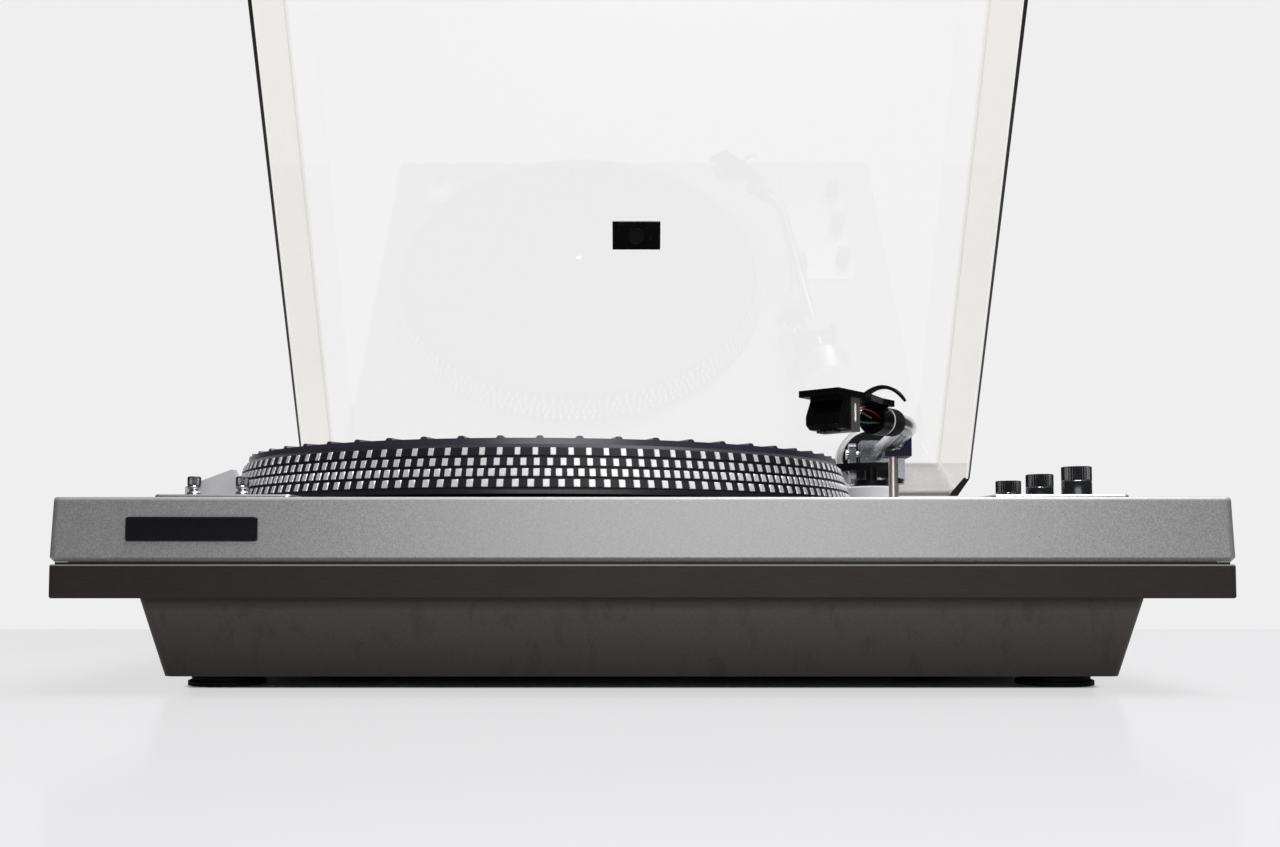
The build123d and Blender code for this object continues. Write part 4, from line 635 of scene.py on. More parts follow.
def piece(name, points, material, body, faces=None, sharp=38.0, replaces=()):
    """Makes a piece from points in metres and their faces, or from rings of points that are closed at both
    ends. It is smooth, but for edges sharper than the angle in degrees."""
    mesh = bpy.data.meshes.new(name)
    mesh.from_pydata(points.reshape(-1, 3).tolist(), [], faces or capped(points))
    shape = bmesh.new()
    shape.from_mesh(mesh)
    bmesh.ops.recalc_face_normals(shape, faces=shape.faces)
    shape.to_mesh(mesh)
    shape.free()
    mesh.polygons.foreach_set("use_smooth", np.ones(len(mesh.polygons), bool))
    mesh.set_sharp_from_angle(angle=math.radians(sharp))
    mesh.materials.append(finish(material))
    made = bpy.data.objects.new(name, mesh)
    bpy.context.scene.collection.objects.link(made)
    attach(made, body)
    if replaces:
        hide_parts(*replaces)
    return made


# Operators: the frame's own pieces


class DressPlinth(bpy.types.Operator):
    """Puts the finishes on the cover, slab, base, feet, panels and what is inside"""

    bl_idname = "turntable.dress_plinth"
    bl_label = "Dress plinth"

    def execute(self, context):
        dress("aluminium_flake_lacquer", "top_cover")
        dress("dark_melamine_board", "plinth_slab")
        dress("grained_abs_base", "base_tub", "bottom_cover")
        dress("moulded_rubber", "feet", "isolators", "cord_glands")
        dress("black_lacquered_plate", "name_plate")
        dress("brushed_aluminium_sheet", "left_panel", "right_panel")
        dress("grey_abs_pod", "strobe_pod")
        dress("frosted_acrylic_window", "strobe_lens")
        dress("machined_steel", "foot_screws", "cover_bolts", "deck_screws")
        dress("satin_black_abs", "rotary_switches", "pitch_pots")
        dress("silicon_steel_stack", "transformer_core")
        dress("enamelled_copper", "transformer_coil")
        dress("glass_epoxy_board", "control_board")
        return {"FINISHED"}


class DressDrive(bpy.types.Operator):
    """Puts the finishes on the platter, mat, spindle and motor"""

    bl_idname = "turntable.dress_drive"
    bl_label = "Dress drive"

    def execute(self, context):
        dress("black_enamelled_casting", "platter")
        dress("ribbed_mat_rubber", "mat")
        dress("polished_chrome", "spindle")
        dress("machined_steel", "motor_housing", "bearing_sleeve", "rotor_cup")
        dress("silicon_steel_stack", "motor_core", "rotor_magnet")
        dress("enamelled_copper", "motor_coils")
        return {"FINISHED"}


class DressArm(bpy.types.Operator):
    """Puts the finishes on the arm, its rest and the cue lift"""

    bl_idname = "turntable.dress_arm"
    bl_label = "Dress arm"

    def execute(self, context):
        dress("soft_chrome_tube", "arm_tube")
        dress("polished_chrome", "weight_stub", "pivot_screws")
        dress("satin_anodised_aluminium", "counterweight")
        dress("dark_nickel", "gimbal_yoke", "arm_base", "bearing_block")
        dress("pressed_nickel_clip", "cartridge_bracket")
        dress("pale_grey_abs", "lift_pedestal")
        dress("satin_nickel", "rest_post")
        dress("gloss_black_abs", "headshell", "cartridge_body")
        dress("satin_black_abs", "stylus", "lift_collar", "lift_bar", "force_dial")
        dress("blue_black_nylon", "rest_saddle")
        return {"FINISHED"}


class DressLid(bpy.types.Operator):
    """Puts the finishes on the lid, its pad, bumpers and hinges"""

    bl_idname = "turntable.dress_lid"
    bl_label = "Dress lid"

    def execute(self, context):
        dress("cast_acrylic_sheet", "lid")
        dress("gloss_black_abs", "lid_pad")
        dress("moulded_rubber", "lid_bumpers")
        dress("satin_anodised_aluminium", "hinge_brackets", "hinge_leaves")
        dress("machined_steel", "hinge_pins")
        return {"FINISHED"}


# Operators: made pieces


class RimDots(bpy.types.Operator):
    """Makes the four rows of strobe dots on the platter's rim"""

    bl_idname = "turntable.rim_dots"
    bl_label = "Rim dots"

    # count, lowest and highest edge over the deck in mm, and the first dot's angle right of the front
    ROWS = (
        (133, 17.9, 21.1, -0.73),
        (180, 13.625, 16.825, 0.21),
        (216, 9.35, 12.55, 0.52),
        (160, 5.075, 8.275, 1.38),
    )
    # the rim's cone: radius in mm at its foot, the foot's height over the deck, and its lean
    FOOT_R, FOOT_H, LEAN = 154.0, 4.0, 0.3275
    # a dot's top as a share of its size, and how far its edge is sunk in the rim, in mm
    TOP_SHARE, SUNK = 0.84, 0.08

    def execute(self, context):
        """Each dot is a 4 by 4 grid: its edge is sunk in the platter, its middle stands out by the rise. A
        point at angle a and height h lies at the cone's radius there, the foot's radius less the lean times
        the height over the foot."""
        sizes = context.scene.turntable_sizes
        centre = np.array(JOINTS["platter_spin"]["pos_m"])
        edge = np.array([-1.0, -self.TOP_SHARE, self.TOP_SHARE, 1.0])
        top = np.abs(edge) < 1
        proud = np.where(np.logical_and.outer(top, top), sizes.dot_rise, -self.SUNK * MM)
        step = (sizes.dot_width_low - sizes.dot_width_top) / (len(self.ROWS) - 1)
        dots = []
        for row, (count, low, high, first) in enumerate(self.ROWS):
            width = sizes.dot_width_top + step * row
            height = ((low + high) / 2 + edge * (high - low) / 2) * MM
            radius = self.FOOT_R * MM - self.LEAN * (height - self.FOOT_H * MM) + proud
            angle = np.radians(first + np.arange(count) * 360 / count)[:, None, None]
            angle = angle + (edge * width / 2)[:, None] / radius
            radius = np.broadcast_to(radius, angle.shape)
            level = np.broadcast_to(height, angle.shape)
            dots.append(np.stack([radius * np.sin(angle), -radius * np.cos(angle), level], axis=-1))
        points = np.concatenate(dots).reshape(-1, 16, 3) + centre
        cell = np.arange(16).reshape(4, 4)
        quads = np.stack([cell[:-1, :-1], cell[1:, :-1], cell[1:, 1:], cell[:-1, 1:]], axis=-1).reshape(-1, 4)
        back = np.concatenate([cell[0, :-1], cell[:-1, -1], cell[-1, :0:-1], cell[:0:-1, 0]])
        start = (np.arange(len(points)) * 16)[:, None]
        faces = (start[:, :, None] + quads[None]).reshape(-1, 4).tolist() + (start + back[None]).tolist()
        piece("rim_dots", points, "turned_aluminium_dots", "platter_set", faces)
        return {"FINISHED"}


class ControlKnobs(bpy.types.Operator):
    """Makes the three black control knobs: fluted cap, bright ring, index line"""

    bl_idname = "turntable.control_knobs"
    bl_label = "Control knobs"

    # radius and height in mm: the plain skirt, the fluted cap, its dished top and the bright ring
    SKIRT = (
        (1.0, 0.4), (5.7, 0.4), (6.0, 0.65), (6.0, 3.5), (6.0, 6.5), (5.85, 6.78), (5.3, 6.85), (5.3, 7.3),
    )
    CAP = (
        (5.75, 7.32), (6.0, 7.45), (6.0, 7.8), (6.0, 10.0), (6.0, 12.5), (6.0, 12.75), (5.9, 12.92),
        (5.6, 13.0),
    )
    DISH = ((4.9, 13.0), (4.6, 12.75), (4.3, 12.6), (1.2, 12.55))
    RING = ((5.2, 6.82), (5.95, 6.84), (6.08, 6.92), (6.1, 7.06), (6.08, 7.2), (5.95, 7.28), (5.2, 7.3))
    # points round a flute, and the power that widens the flutes and narrows the ribs between them
    FLUTE_STEPS, FLUTE_POWER = 8, 0.7
    # the index line in mm: its two ends from the middle, half width, lowest and highest level
    INDEX_FROM, INDEX_TO, INDEX_HALF, INDEX_LOW, INDEX_TOP = 1.6, 4.2, 0.3, 12.5, 12.68

    def execute(self, context):
        """The cap's radius dips by the flute depth times ((1 - cos(n a)) / 2)^0.7 round the angle a."""
        sizes = context.scene.turntable_sizes
        angle = round_angles(sizes.flute_count * self.FLUTE_STEPS)
        depth = sizes.flute_depth * ((1 - np.cos(sizes.flute_count * angle)) / 2) ** self.FLUTE_POWER
        first = len(self.SKIRT)
        rows = slice(first + 1, first + len(self.CAP))
        grip = grooved(self.SKIRT + self.CAP + self.DISH, depth, rows)
        ring = turned(self.RING, around=96)
        half, near, far = self.INDEX_HALF, -self.INDEX_FROM, -self.INDEX_TO
        outline = ((-half, near), (-half, far), (half, far), (half, near))
        bar = MM * np.array([[(x, y, z) for x, y in outline] for z in (self.INDEX_LOW, self.INDEX_TOP)])
        for name in ("start", "speed", "cue"):
            body = f"{name}_control"
            knob = f"{name}_knob"
            place = upright(f"{name}_turn")
            cap = moved(grip, place)
            piece(f"{knob}_grip", cap, "fluted_black_abs", body, sharp=30, replaces=(knob,))
            piece(f"{knob}_ring", moved(ring, place), "polished_chrome", body)
            piece(f"{knob}_index", moved(bar, place), "white_marking_paint", body)
        return {"FINISHED"}


class PitchKnobs(bpy.types.Operator):
    """Makes the two small chromed pitch knobs with dark knurled grips"""

    bl_idname = "turntable.pitch_knobs"
    bl_label = "Pitch knobs"

    # radius and height in mm: the waisted foot and the grip on it
    FOOT = (
        (0.8, 0.4), (2.5, 0.4), (2.85, 0.65), (2.9, 1.0), (2.7, 1.45), (2.2, 1.85), (1.9, 2.2), (1.9, 2.7),
        (2.2, 2.85), (2.5, 2.95), (2.6, 3.15), (2.6, 4.0), (2.45, 4.1), (2.3, 4.15), (0.8, 4.2),
    )
    GRIP = (
        (0.8, 4.1), (2.35, 4.12), (2.5, 4.25), (2.6, 4.4), (2.6, 5.6), (2.6, 7.0), (2.58, 7.25), (2.4, 7.6),
        (2.1, 7.8), (1.8, 7.78), (1.6, 7.6), (0.5, 7.58),
    )
    # knurls round a grip, points round each, their depth in mm, and the grip's rows that they run over
    KNURLS, KNURL_STEPS, KNURL_DEPTH, KNURLED = 32, 6, 0.14, slice(3, 7)

    def execute(self, context):
        """The grip's radius dips by the depth times 1 - |sin(n a / 2)| round the angle a: V-shaped knurls."""
        angle = round_angles(self.KNURLS * self.KNURL_STEPS)
        depth = self.KNURL_DEPTH * MM * (1 - np.abs(np.sin(self.KNURLS / 2 * angle)))
        grip = grooved(self.GRIP, depth, self.KNURLED)
        foot = turned(self.FOOT, around=64)
        for side in ("left", "right"):
            body = f"pitch_{side}"
            place = upright(f"pitch_{side}_turn")
            node = f"pitch_knob_{side}"
            base = moved(foot, place)
            piece(f"{node}_foot", base, "polished_chrome", body, sharp=50, replaces=(node,))
            piece(f"{node}_grip", moved(grip, place), "dark_nickel", body)
        return {"FINISHED"}


class LockCollar(bpy.types.Operator):
    """Makes the knurled lock collar behind the headshell, with its bright front ring"""

    bl_idname = "turntable.lock_collar"
    bl_label = "Lock collar"

    # radius and distance behind the stylus in mm, out along the outside and back through the bore
    LOOP = (
        (4.6, 49.0), (5.7, 49.0), (6.0, 49.1), (6.05, 50.3), (6.25, 50.5), (6.3, 50.8), (6.3, 54.5),
        (6.3, 58.2), (6.25, 58.6), (6.05, 58.8), (6.05, 59.5), (5.8, 60.2), (5.3, 60.5), (4.6, 60.5),
    )
    RING = ((4.9, 49.15), (6.1, 49.2), (6.28, 49.4), (6.3, 49.75), (6.28, 50.1), (6.1, 50.25), (4.9, 50.3))
    # points round a knurl, its depth in mm, and the loop's rows that the knurls run over
    KNURL_STEPS, KNURL_DEPTH, KNURLED = 6, 0.18, slice(4, 9)

    def execute(self, context):
        """Over the middle of its length the outside dips by the depth times (1 - cos(n a)) / 2 round the
        angle a. Both rings are turned about Z, which is then laid along the head."""
        knurls = context.scene.turntable_sizes.knurl_count
        angle = round_angles(knurls * self.KNURL_STEPS)
        depth = self.KNURL_DEPTH * MM * (1 - np.cos(knurls * angle)) / 2
        stand = along("collar_turn") @ Matrix.Rotation(math.radians(-90), 4, "X")
        grip = moved(grooved(self.LOOP, depth, self.KNURLED), stand)
        ring = moved(turned(self.RING, around=96), stand)
        piece(
            "lock_collar_grip",
            grip,
            "satin_black_abs",
            "collar",
            faces=grid_faces(*grip.shape[:2], wrap_rows=True),
            sharp=30,
            replaces=("lock_collar",),
        )
        skin = grid_faces(*ring.shape[:2], wrap_rows=True)
        piece("lock_collar_ring", ring, "bright_cut_ring", "collar", skin)
        return {"FINISHED"}


class FingerLift(bpy.types.Operator):
    """Makes the finger lift that sweeps up and out from the headshell's side"""

    bl_idname = "turntable.finger_lift"
    bl_label = "Finger lift"

    # across, along and over the head's axis in mm: the root, the top of the bow and the tip
    ROOT, TOP, TIP = (8.4, 18.0, 7.2), (18.5, 18.0, 10.2), (27.6, 18.0, 3.6)
    # half width, half thickness and what the root adds to that, in mm
    HALF_WIDE, HALF_THICK, ROOT_THICK = 1.6, 0.64, 0.5
    # shares of the length over which the root thins and the tip is rounded
    ROOT_SHARE, TIP_SHARE = 0.3, 0.05
    # the power by which the root thins, and how far along its ellipse the tip is closed
    THINNING, CLOSED = 1.6, 0.97

    def execute(self, context):
        """A strip along the parabola through three points. At the share u of the way the root's part has
        thinned to (1 - u / 0.3)^1.6 of itself, and over the last twentieth the width closes in a quarter
        ellipse."""
        root, top, tip = np.array([self.ROOT, self.TOP, self.TIP])
        u = np.linspace(0, 1, 48)[:, None]
        path = root * (1 - u) * (1 - 2 * u) + 4 * top * u * (1 - u) + tip * u * (2 * u - 1)
        u = u[:, 0]
        thick = self.HALF_THICK + self.ROOT_THICK * np.clip(1 - u / self.ROOT_SHARE, 0, 1) ** self.THINNING
        closing = np.clip((u - (1 - self.TIP_SHARE)) / self.TIP_SHARE, 0, self.CLOSED)
        wide = self.HALF_WIDE * np.sqrt(1 - closing**2)
        lift = swept(path * MM, wide * MM, around=20, flat=thick / self.HALF_WIDE)
        lift = moved(lift, along("collar_turn"))
        piece("finger_lift", lift, "gloss_black_abs", "arm", sharp=50)
        return {"FINISHED"}


class HeadLeads(bpy.types.Operator):
    """Makes the four coloured leads from the cartridge to the neck, with their clips"""

    bl_idname = "turntable.head_leads"
    bl_label = "Head leads"

    # colour, terminal's side and height, bow sideways and up on the way, in mm
    LEADS = (
        ("red", 2.6, 1.5, 1.6, 1.6),
        ("white", -2.6, 1.5, -1.4, 2.4),
        ("green", 2.6, -2.5, 2.2, -0.6),
        ("blue", -2.6, -2.5, -1.8, -1.6),
    )
    # along the head in mm: a lead's start, the two ends of its bow, and its end in the neck
    START, BOW_NEAR, BOW_FAR, NECK = 17.6, 26.0, 34.0, 43.2
    # how many times its rise a lead's bow stands up at its two ends
    RISE_NEAR, RISE_FAR = 1.6, 1.3
    # the neck's contacts stand closer than the terminals, by these shares sideways and up
    CLOSE_X, CLOSE_Z = 0.8, 0.6
    # the clip on a terminal: its control points along the head, and its radius, in mm
    CLIP_ALONG, CLIP_R = (15.6, 16.6, 17.6, 18.8), 0.7

    def execute(self, context):
        """Each lead is a round tube along a cubic curve that leaves its terminal and bows outwards. Its clip
        is a shorter tube over the lead's start, whose end leans a tenth of the lead's rise."""
        sizes = context.scene.turntable_sizes
        head = along("collar_turn")
        for colour, x, z, bow, rise in self.LEADS:
            neck_x, neck_z = x * self.CLOSE_X, z * self.CLOSE_Z
            corners = (
                (x, self.START, z),
                (x + bow, self.BOW_NEAR, z + rise * self.RISE_NEAR),
                (neck_x + bow, self.BOW_FAR, neck_z + rise * self.RISE_FAR),
                (neck_x, self.NECK, neck_z),
            )
            sleeve = [(x, y, z + lean) for y, lean in zip(self.CLIP_ALONG, (0, 0, 0, rise * 0.1))]
            lead = moved(swept(bezier(corners, steps=36) * MM, sizes.lead_radius, around=12), head)
            clip = moved(swept(bezier(sleeve, steps=8) * MM, self.CLIP_R * MM, around=12), head)
            piece(f"{colour}_lead", lead, f"{colour}_pvc_lead", "arm")
            piece(f"{colour}_lead_clip", clip, "machined_steel", "arm")
        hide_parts("headshell_leads")
        return {"FINISHED"}


class ClipBeads(bpy.types.Operator):
    """Makes the bright bead on each cheek of the cartridge's clip; its near-white finish is a painted
    highlight
    """

    bl_idname = "turntable.clip_beads"
    bl_label = "Clip beads"

    # in mm: the bead's place along the head, its two ends over the tube's axis and its half width
    ALONG, LOW, HIGH, HALF = 10.0, -4.4, 3.4, 0.5
    # rings along a bead, and how near its ends the last of them lie
    RINGS, LAST = 25, 0.995

    def execute(self, context):
        """A round bar laid half into the cheek, whose radius at the share u of the way from its middle to an
        end is the half width times the root of 1 - u^8, so that both ends are rounded."""
        head = along("collar_turn")
        cheek = corners_in(head, "cartridge_bracket")[:, 0].max()
        share = np.linspace(-self.LAST, self.LAST, self.RINGS)
        height = ((self.HIGH + self.LOW) / 2 + share * (self.HIGH - self.LOW) / 2) * MM
        radius = self.HALF * MM * np.sqrt(1 - share**8)
        level = np.full(self.RINGS, self.ALONG * MM)
        for name, side in SIDES:
            path = np.column_stack([np.full(self.RINGS, side * cheek), level, height])
            bead = moved(swept(path, radius, around=16), head)
            # the bead's near-white finish is a painted highlight along the clip's cheek
            piece(f"clip_bead_{name}", bead, "bright_cut_ring", "arm")
        return {"FINISHED"}


class LidEdges(bpy.types.Operator):
    """Makes painted shade on the lid: the dark skin on its rim and the black bars on its cut corners"""

    bl_idname = "turntable.lid_edges"
    bl_label = "Lid edges"

    # the shut lid in mm from its hinge: half width, front, back and rim, and its corner radius and cut
    HALF, FRONT, BACK, RIM, CORNER, CUT = 214.5, -351.6, -5.6, -6.3, 6.0, 22.0
    # width of the dark skin at the hinge end and at the front, and how deep it bites into the rim
    STRIP_BACK, STRIP_FRONT, BITE = 1.1, 2.3, 0.02
    # the black bar along the cut: its width at the back and at the rim, and its depth into the wall
    CUT_WIDE, CUT_NARROW, CUT_DEEP = 5.8, 3.8, 0.6

    def execute(self, context):
        """A flat strip carried round the rim: along the right side, round the front corners, each an arc of a
        quarter circle, and back along the left. At each station four points span the strip's width and the
        skin's thickness. Each cut has a straight bar of four corners at either end."""
        skin = context.scene.turntable_sizes.edge_skin / MM
        mirror = (-1, 1, 1)
        turn = np.radians(np.linspace(0, 90, 9))
        cosine, sine, level = np.cos(turn), np.sin(turn), np.full(len(turn), self.RIM)
        cut = np.array([(self.HALF, self.BACK, self.RIM)] * 2) + [(0, 0, self.CUT), (0, -self.CUT, 0)]
        across = self.HALF - self.CORNER + self.CORNER * cosine
        ahead = self.FRONT + self.CORNER - self.CORNER * sine
        outer = np.vstack([cut[1], np.column_stack([across, ahead, level])])
        outer = np.vstack([outer, outer[::-1] * mirror])
        inward = np.vstack([(-1, 0, 0), np.column_stack([-cosine, sine, 0 * level])])
        inward = np.vstack([inward, inward[::-1] * mirror])
        ends = (self.FRONT, self.BACK - self.CUT)
        strip = np.interp(outer[:, 1], ends, (self.STRIP_FRONT, self.STRIP_BACK))
        inner = outer + inward * strip[:, None]
        off = np.array((0.0, 0.0, -1.0))
        rim = [outer - self.BITE * off, outer + skin * off, inner + skin * off, inner - self.BITE * off]
        off = np.array((0.0, math.sqrt(0.5), -math.sqrt(0.5)))
        deep = self.CUT_DEEP * off
        near = cut - np.array([(self.CUT_WIDE, 0, 0), (self.CUT_NARROW, 0, 0)])
        bar = np.stack([cut + skin * off, near + skin * off, near - deep, cut - deep], axis=1)
        place = opened_lid()
        rim = moved(np.stack(rim, axis=1) * MM, place)
        # the rim's dark skin is painted shade, pale near the hinge with painted light
        piece("lid_rim_skin", rim, "acrylic_cut_edge", "dust_lid", sharp=20)
        for name, side in SIDES:
            edge = moved(bar * (side, 1, 1) * MM, place)
            # each black bar is painted shade on the edge of a cut corner
            piece(f"lid_cut_bar_{name}", edge, "moulded_rubber", "dust_lid", sharp=20)
        return {"FINISHED"}


class PadButton(bpy.types.Operator):
    """Makes the round button in the middle of the lid's pad"""

    bl_idname = "turntable.pad_button"
    bl_label = "Pad button"

    # radius and height over the pad's face in mm: the rounded rim and the dished middle
    PROFILE = (
        (5.2, 0.1), (5.2, -0.35), (5.05, -0.5), (4.7, -0.55), (4.2, -0.5), (3.8, -0.15), (0.6, -0.12),
    )

    def execute(self, context):
        """A shallow turned disc, whose radius and height follow the profile. It sits in the middle of the
        pad's lowest face, which is found in the shut lid's frame."""
        place = opened_lid()
        corners = corners_in(place, "lid_pad")
        low, high = corners.min(axis=0), corners.max(axis=0)
        spot = Matrix.Translation(Vector(((low[0] + high[0]) / 2, (low[1] + high[1]) / 2, low[2])))
        disc = moved(turned(self.PROFILE, around=64), place @ spot)
        piece("lid_pad_button", disc, "satin_black_abs", "dust_lid", sharp=40)
        return {"FINISHED"}


class DialMarks(bpy.types.Operator):
    """Makes the white marks round the tracking-force dial"""

    bl_idname = "turntable.dial_marks"
    bl_label = "Dial marks"

    # marks round the dial, and every how many of them one is long
    COUNT, LONG_EVERY = 40, 4
    # in mm: the dial's radius and front face, and a mark's half width, two lengths, sink and rise
    RADIUS, FACE = 17.0, 31.6
    HALF_WIDE, LONG, SHORT, SUNK, PROUD = 0.16, 3.0, 1.8, 0.1, 0.06

    def execute(self, context):
        """Small blocks on the dial's outside, at equal angles. Each has four corners, at plus and minus its
        half width over the radius and at its two ends, on two levels, just in and just out of the dial."""
        number = np.arange(self.COUNT)[:, None, None]
        wide = self.HALF_WIDE * np.array([-1, 1, 1, -1])
        reach = np.where(number % self.LONG_EVERY == 0, self.LONG, self.SHORT)
        level = np.array([self.RADIUS - self.SUNK, self.RADIUS + self.PROUD])[:, None]
        back = np.broadcast_to(self.FACE + reach * np.array([0, 0, 1, 1]), (self.COUNT, 2, 4))
        turn = np.radians(number * 360 / self.COUNT) + wide / self.RADIUS
        points = np.stack([level * np.sin(turn), back, level * np.cos(turn)], axis=-1)
        block = np.array(capped(points[0]))
        faces = (number * 8 + block).reshape(-1, 4).tolist()
        marks = moved(points * MM, along("dial_turn"))
        piece("dial_marks", marks, "white_marking_paint", "dial", faces)
        return {"FINISHED"}


# The stage


class Stage(bpy.types.Operator):
    """Sets up the floor, the lights, the world and the camera"""

    bl_idname = "turntable.stage"
    bl_label = "Stage"

    # in metres: the table's half width and how far its back edge lies behind the object's front face
    TABLE_HALF, TABLE_BACK = 2.0, 0.456
    # in metres: plan of the left card, the front card and the right card, and their lowest and highest level
    CARD_PLAN = ((-0.7, 0.5), (-0.7, -1.75), (0.7, -1.75), (0.7, 0.5))
    CARD_LOW, CARD_HIGH = -0.2, 1.6

    def execute(self, context):
        settings = context.scene.turntable_stage
        self.floor()
        self.cards()
        self.lamp(
            "soft_top",
            place=(0.45, -0.4, 1.35),
            target=(0, 0, 0.05),
            size=(1.3, 1.1),
            power=settings.top_light,
        )
        self.lamp(
            "soft_front",
            place=(0.07, -0.72, 0.105),
            target=(0.04, FRONT_Y, 0.05),
            size=(0.46, 0.1),
            power=settings.front_light,
        )
        self.world(context, settings)
        self.camera(context, settings)
        return {"FINISHED"}

    def sheet(self, name, corners, material):
        """A flat rectangle through four corners."""
        mesh = bpy.data.meshes.new(name)
        mesh.from_pydata(corners, [], [(0, 1, 2, 3)])
        mesh.materials.append(material)
        made = bpy.data.objects.new(name, mesh)
        bpy.context.scene.collection.objects.link(made)
        return made

    def seen(self, tree, path):
        """1 on a ray that the camera sends, straight, by a mirror or through clear sheet, and 0 on others."""
        mirror = add(
            tree,
            "Math",
            {0: path.outputs["Is Glossy Ray"], 1: path.outputs["Is Transmission Ray"]},
            operation="MAXIMUM",
        )
        return add(
            tree, "Math", {0: path.outputs["Is Camera Ray"], 1: mirror.outputs[0]}, operation="MAXIMUM"
        )

    def floor(self):
        """White laminate table with a faint mirror. Where it is seen open to the room, straight, in metal or
        through clear sheet, it is lifted to white; within 60 mm of the object it keeps its shadow."""
        shadow_reach, closed, open_air, lifted = 0.06, 0.1, 0.16, 0.73
        material, tree, shader, place = start_finish(
            "white_laminate_table",
            {"Specular IOR Level": 0.0, "Coat Weight": 0.16, "Emission Color": linear("#F4F4F5")},
        )
        seen = self.seen(tree, add(tree, "LightPath"))
        air = add(tree, "AmbientOcclusion", {"Distance": shadow_reach}, samples=32)
        lift = add(
            tree,
            "MapRange",
            {"Value": air.outputs["AO"], "From Min": closed, "From Max": open_air, "To Max": lifted},
        )
        glow = add(tree, "Math", {0: lift.outputs[0], 1: seen.outputs[0]}, operation="MULTIPLY")
        tint = add(
            tree, "Mix", {0: seen.outputs[0], 6: linear("#606061"), 7: linear("#6A6A6C")}, data_type="RGBA"
        )
        mottle = add(tree, "TexNoise", {"Vector": place, "Scale": 1 / 0.05, "Detail": 3.0})
        rough = add(tree, "MapRange", {"Value": mottle.outputs["Fac"], "To Min": 0.1, "To Max": 0.2})
        tree.links.new(tint.outputs[2], shader.inputs["Base Color"])
        tree.links.new(glow.outputs[0], shader.inputs["Emission Strength"])
        tree.links.new(rough.outputs[0], shader.inputs["Coat Roughness"])
        half, back = self.TABLE_HALF, FRONT_Y + self.TABLE_BACK
        corners = [(-half, -half, 0), (half, -half, 0), (half, back, 0), (-half, back, 0)]
        self.sheet("table_top", corners, material)

    def cards(self):
        """Dark card in front and grey ones at the sides, seen only in mirrors, for the metal to reflect."""
        dark = speckled("dark_card", "#1C1C1E", 5.0, 0.05, (0.8, 0.9), 0.0, {})
        grey = speckled("grey_card", "#58585A", 5.0, 0.05, (0.8, 0.9), 0.0, {})
        low, high = self.CARD_LOW, self.CARD_HIGH
        for number, stock in enumerate((grey, dark, grey)):
            start, end = self.CARD_PLAN[number : number + 2]
            wall = [(*start, low), (*start, high), (*end, high), (*end, low)]
            card = self.sheet(f"dark_card_{number}", wall, stock)
            card.visible_camera = False
            card.visible_diffuse = False
            card.visible_transmission = False
            card.visible_shadow = False

    def lamp(self, name, place, target, size, power):
        """A rectangular soft light that faces its target."""
        light = bpy.data.lights.new(name, "AREA")
        light.shape = "RECTANGLE"
        light.size, light.size_y = size
        light.energy = power
        lamp = bpy.data.objects.new(name, light)
        lamp.location = place
        lamp.rotation_euler = (Vector(target) - Vector(place)).to_track_quat("-Z", "Y").to_euler()
        lamp.visible_camera = False
        bpy.context.scene.collection.objects.link(lamp)

    def world(self, context, settings):
        """Pale wall for what the camera, mirrors and clear sheet see, and an even room light for the rest."""
        world = bpy.data.worlds.new("pale_room")
        world.use_nodes = True
        tree = world.node_tree
        tree.nodes.clear()
        path = add(tree, "LightPath")
        seen = self.seen(tree, path)
        room = add(tree, "Background", {"Color": linear("#FFFFFF"), "Strength": settings.room_light})
        paint = add(
            tree,
            "Mix",
            {0: path.outputs["Is Transmission Ray"], 6: linear("#EFEFF0"), 7: linear("#F3F3F3")},
            data_type="RGBA",
        )
        wall = add(tree, "Background", {"Color": paint.outputs[2], "Strength": 1.0})
        both = add(tree, "MixShader", {0: seen.outputs[0], 1: room.outputs[0], 2: wall.outputs[0]})
        add(tree, "OutputWorld", {"Surface": both.outputs[0]})
        context.scene.world = world

    def camera(self, context, settings):
        """Camera low before the front, looking slightly up, with a risen lens."""
        lens = bpy.data.cameras.new("photo_camera")
        lens.lens = settings.lens
        lens.sensor_width = 36.0
        lens.shift_x = settings.side_shift
        lens.shift_y = settings.horizon_shift
        lens.clip_start = 0.01
        camera = bpy.data.objects.new("photo_camera", lens)
        camera.location = (settings.side_step, FRONT_Y - settings.distance, settings.eye_height)
        camera.rotation_euler = (math.radians(90) + settings.pitch, 0.0, 0.0)
        context.scene.collection.objects.link(camera)
        context.scene.camera = camera
        context.scene.view_settings.view_transform = "Standard"


# Panel and running


class TurntablePanel(bpy.types.Panel):
    """Lists the record player's operators"""

    bl_idname = "VIEW3D_PT_turntable"
    bl_label = "Record player"
    bl_space_type = "VIEW_3D"
    bl_region_type = "UI"
    bl_category = "Record player"

    def draw(self, context):
        for operator in OPERATORS:
            self.layout.operator(operator.bl_idname)


OPERATORS = (
    Stage,
    DressPlinth,
    DressDrive,
    DressArm,
    DressLid,
    RimDots,
    ControlKnobs,
    PitchKnobs,
    LockCollar,
    FingerLift,
    HeadLeads,
    ClipBeads,
    LidEdges,
    PadButton,
    DialMarks,
)
GROUPS = (
    ("turntable_sizes", TurntableSizes),
    ("turntable_colours", TurntableColours),
    ("turntable_stage", TurntableStage),
)


def register():
    """Registers the settings, the operators and the panel."""
    for name, group in GROUPS:
        bpy.utils.register_class(group)
        setattr(bpy.types.Scene, name, bpy.props.PointerProperty(type=group))
    for operator in OPERATORS:
        bpy.utils.register_class(operator)
    bpy.utils.register_class(TurntablePanel)


def unregister():
    """Takes out what register put in, last first."""
    bpy.utils.unregister_class(TurntablePanel)
    for operator in reversed(OPERATORS):
        bpy.utils.unregister_class(operator)
    for name, group in reversed(GROUPS):
        delattr(bpy.types.Scene, name)
        bpy.utils.unregister_class(group)


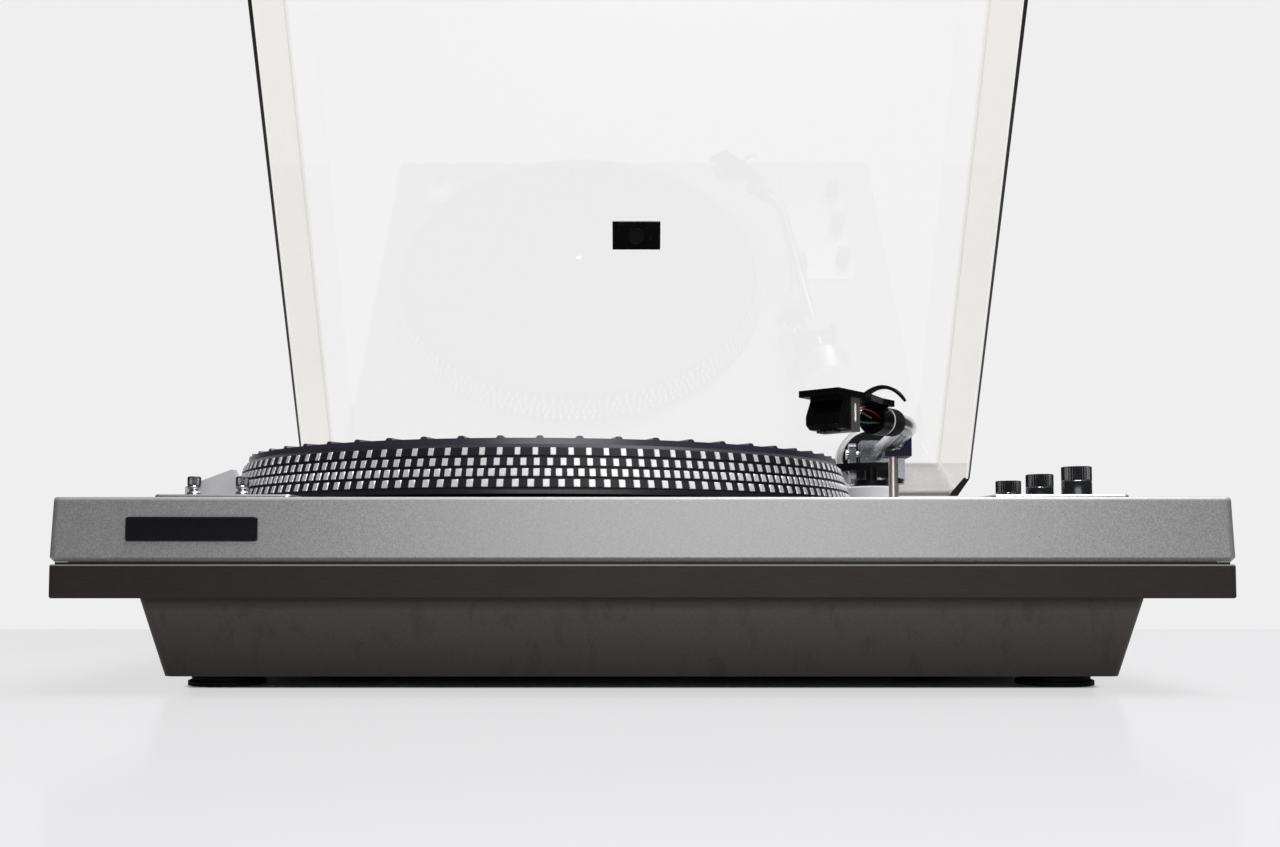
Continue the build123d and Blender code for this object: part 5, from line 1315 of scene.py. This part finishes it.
def main():
    register()
    for operator in OPERATORS:
        getattr(bpy.ops.turntable, operator.bl_idname.split(".")[1])()


if __name__ == "__main__":
    main()
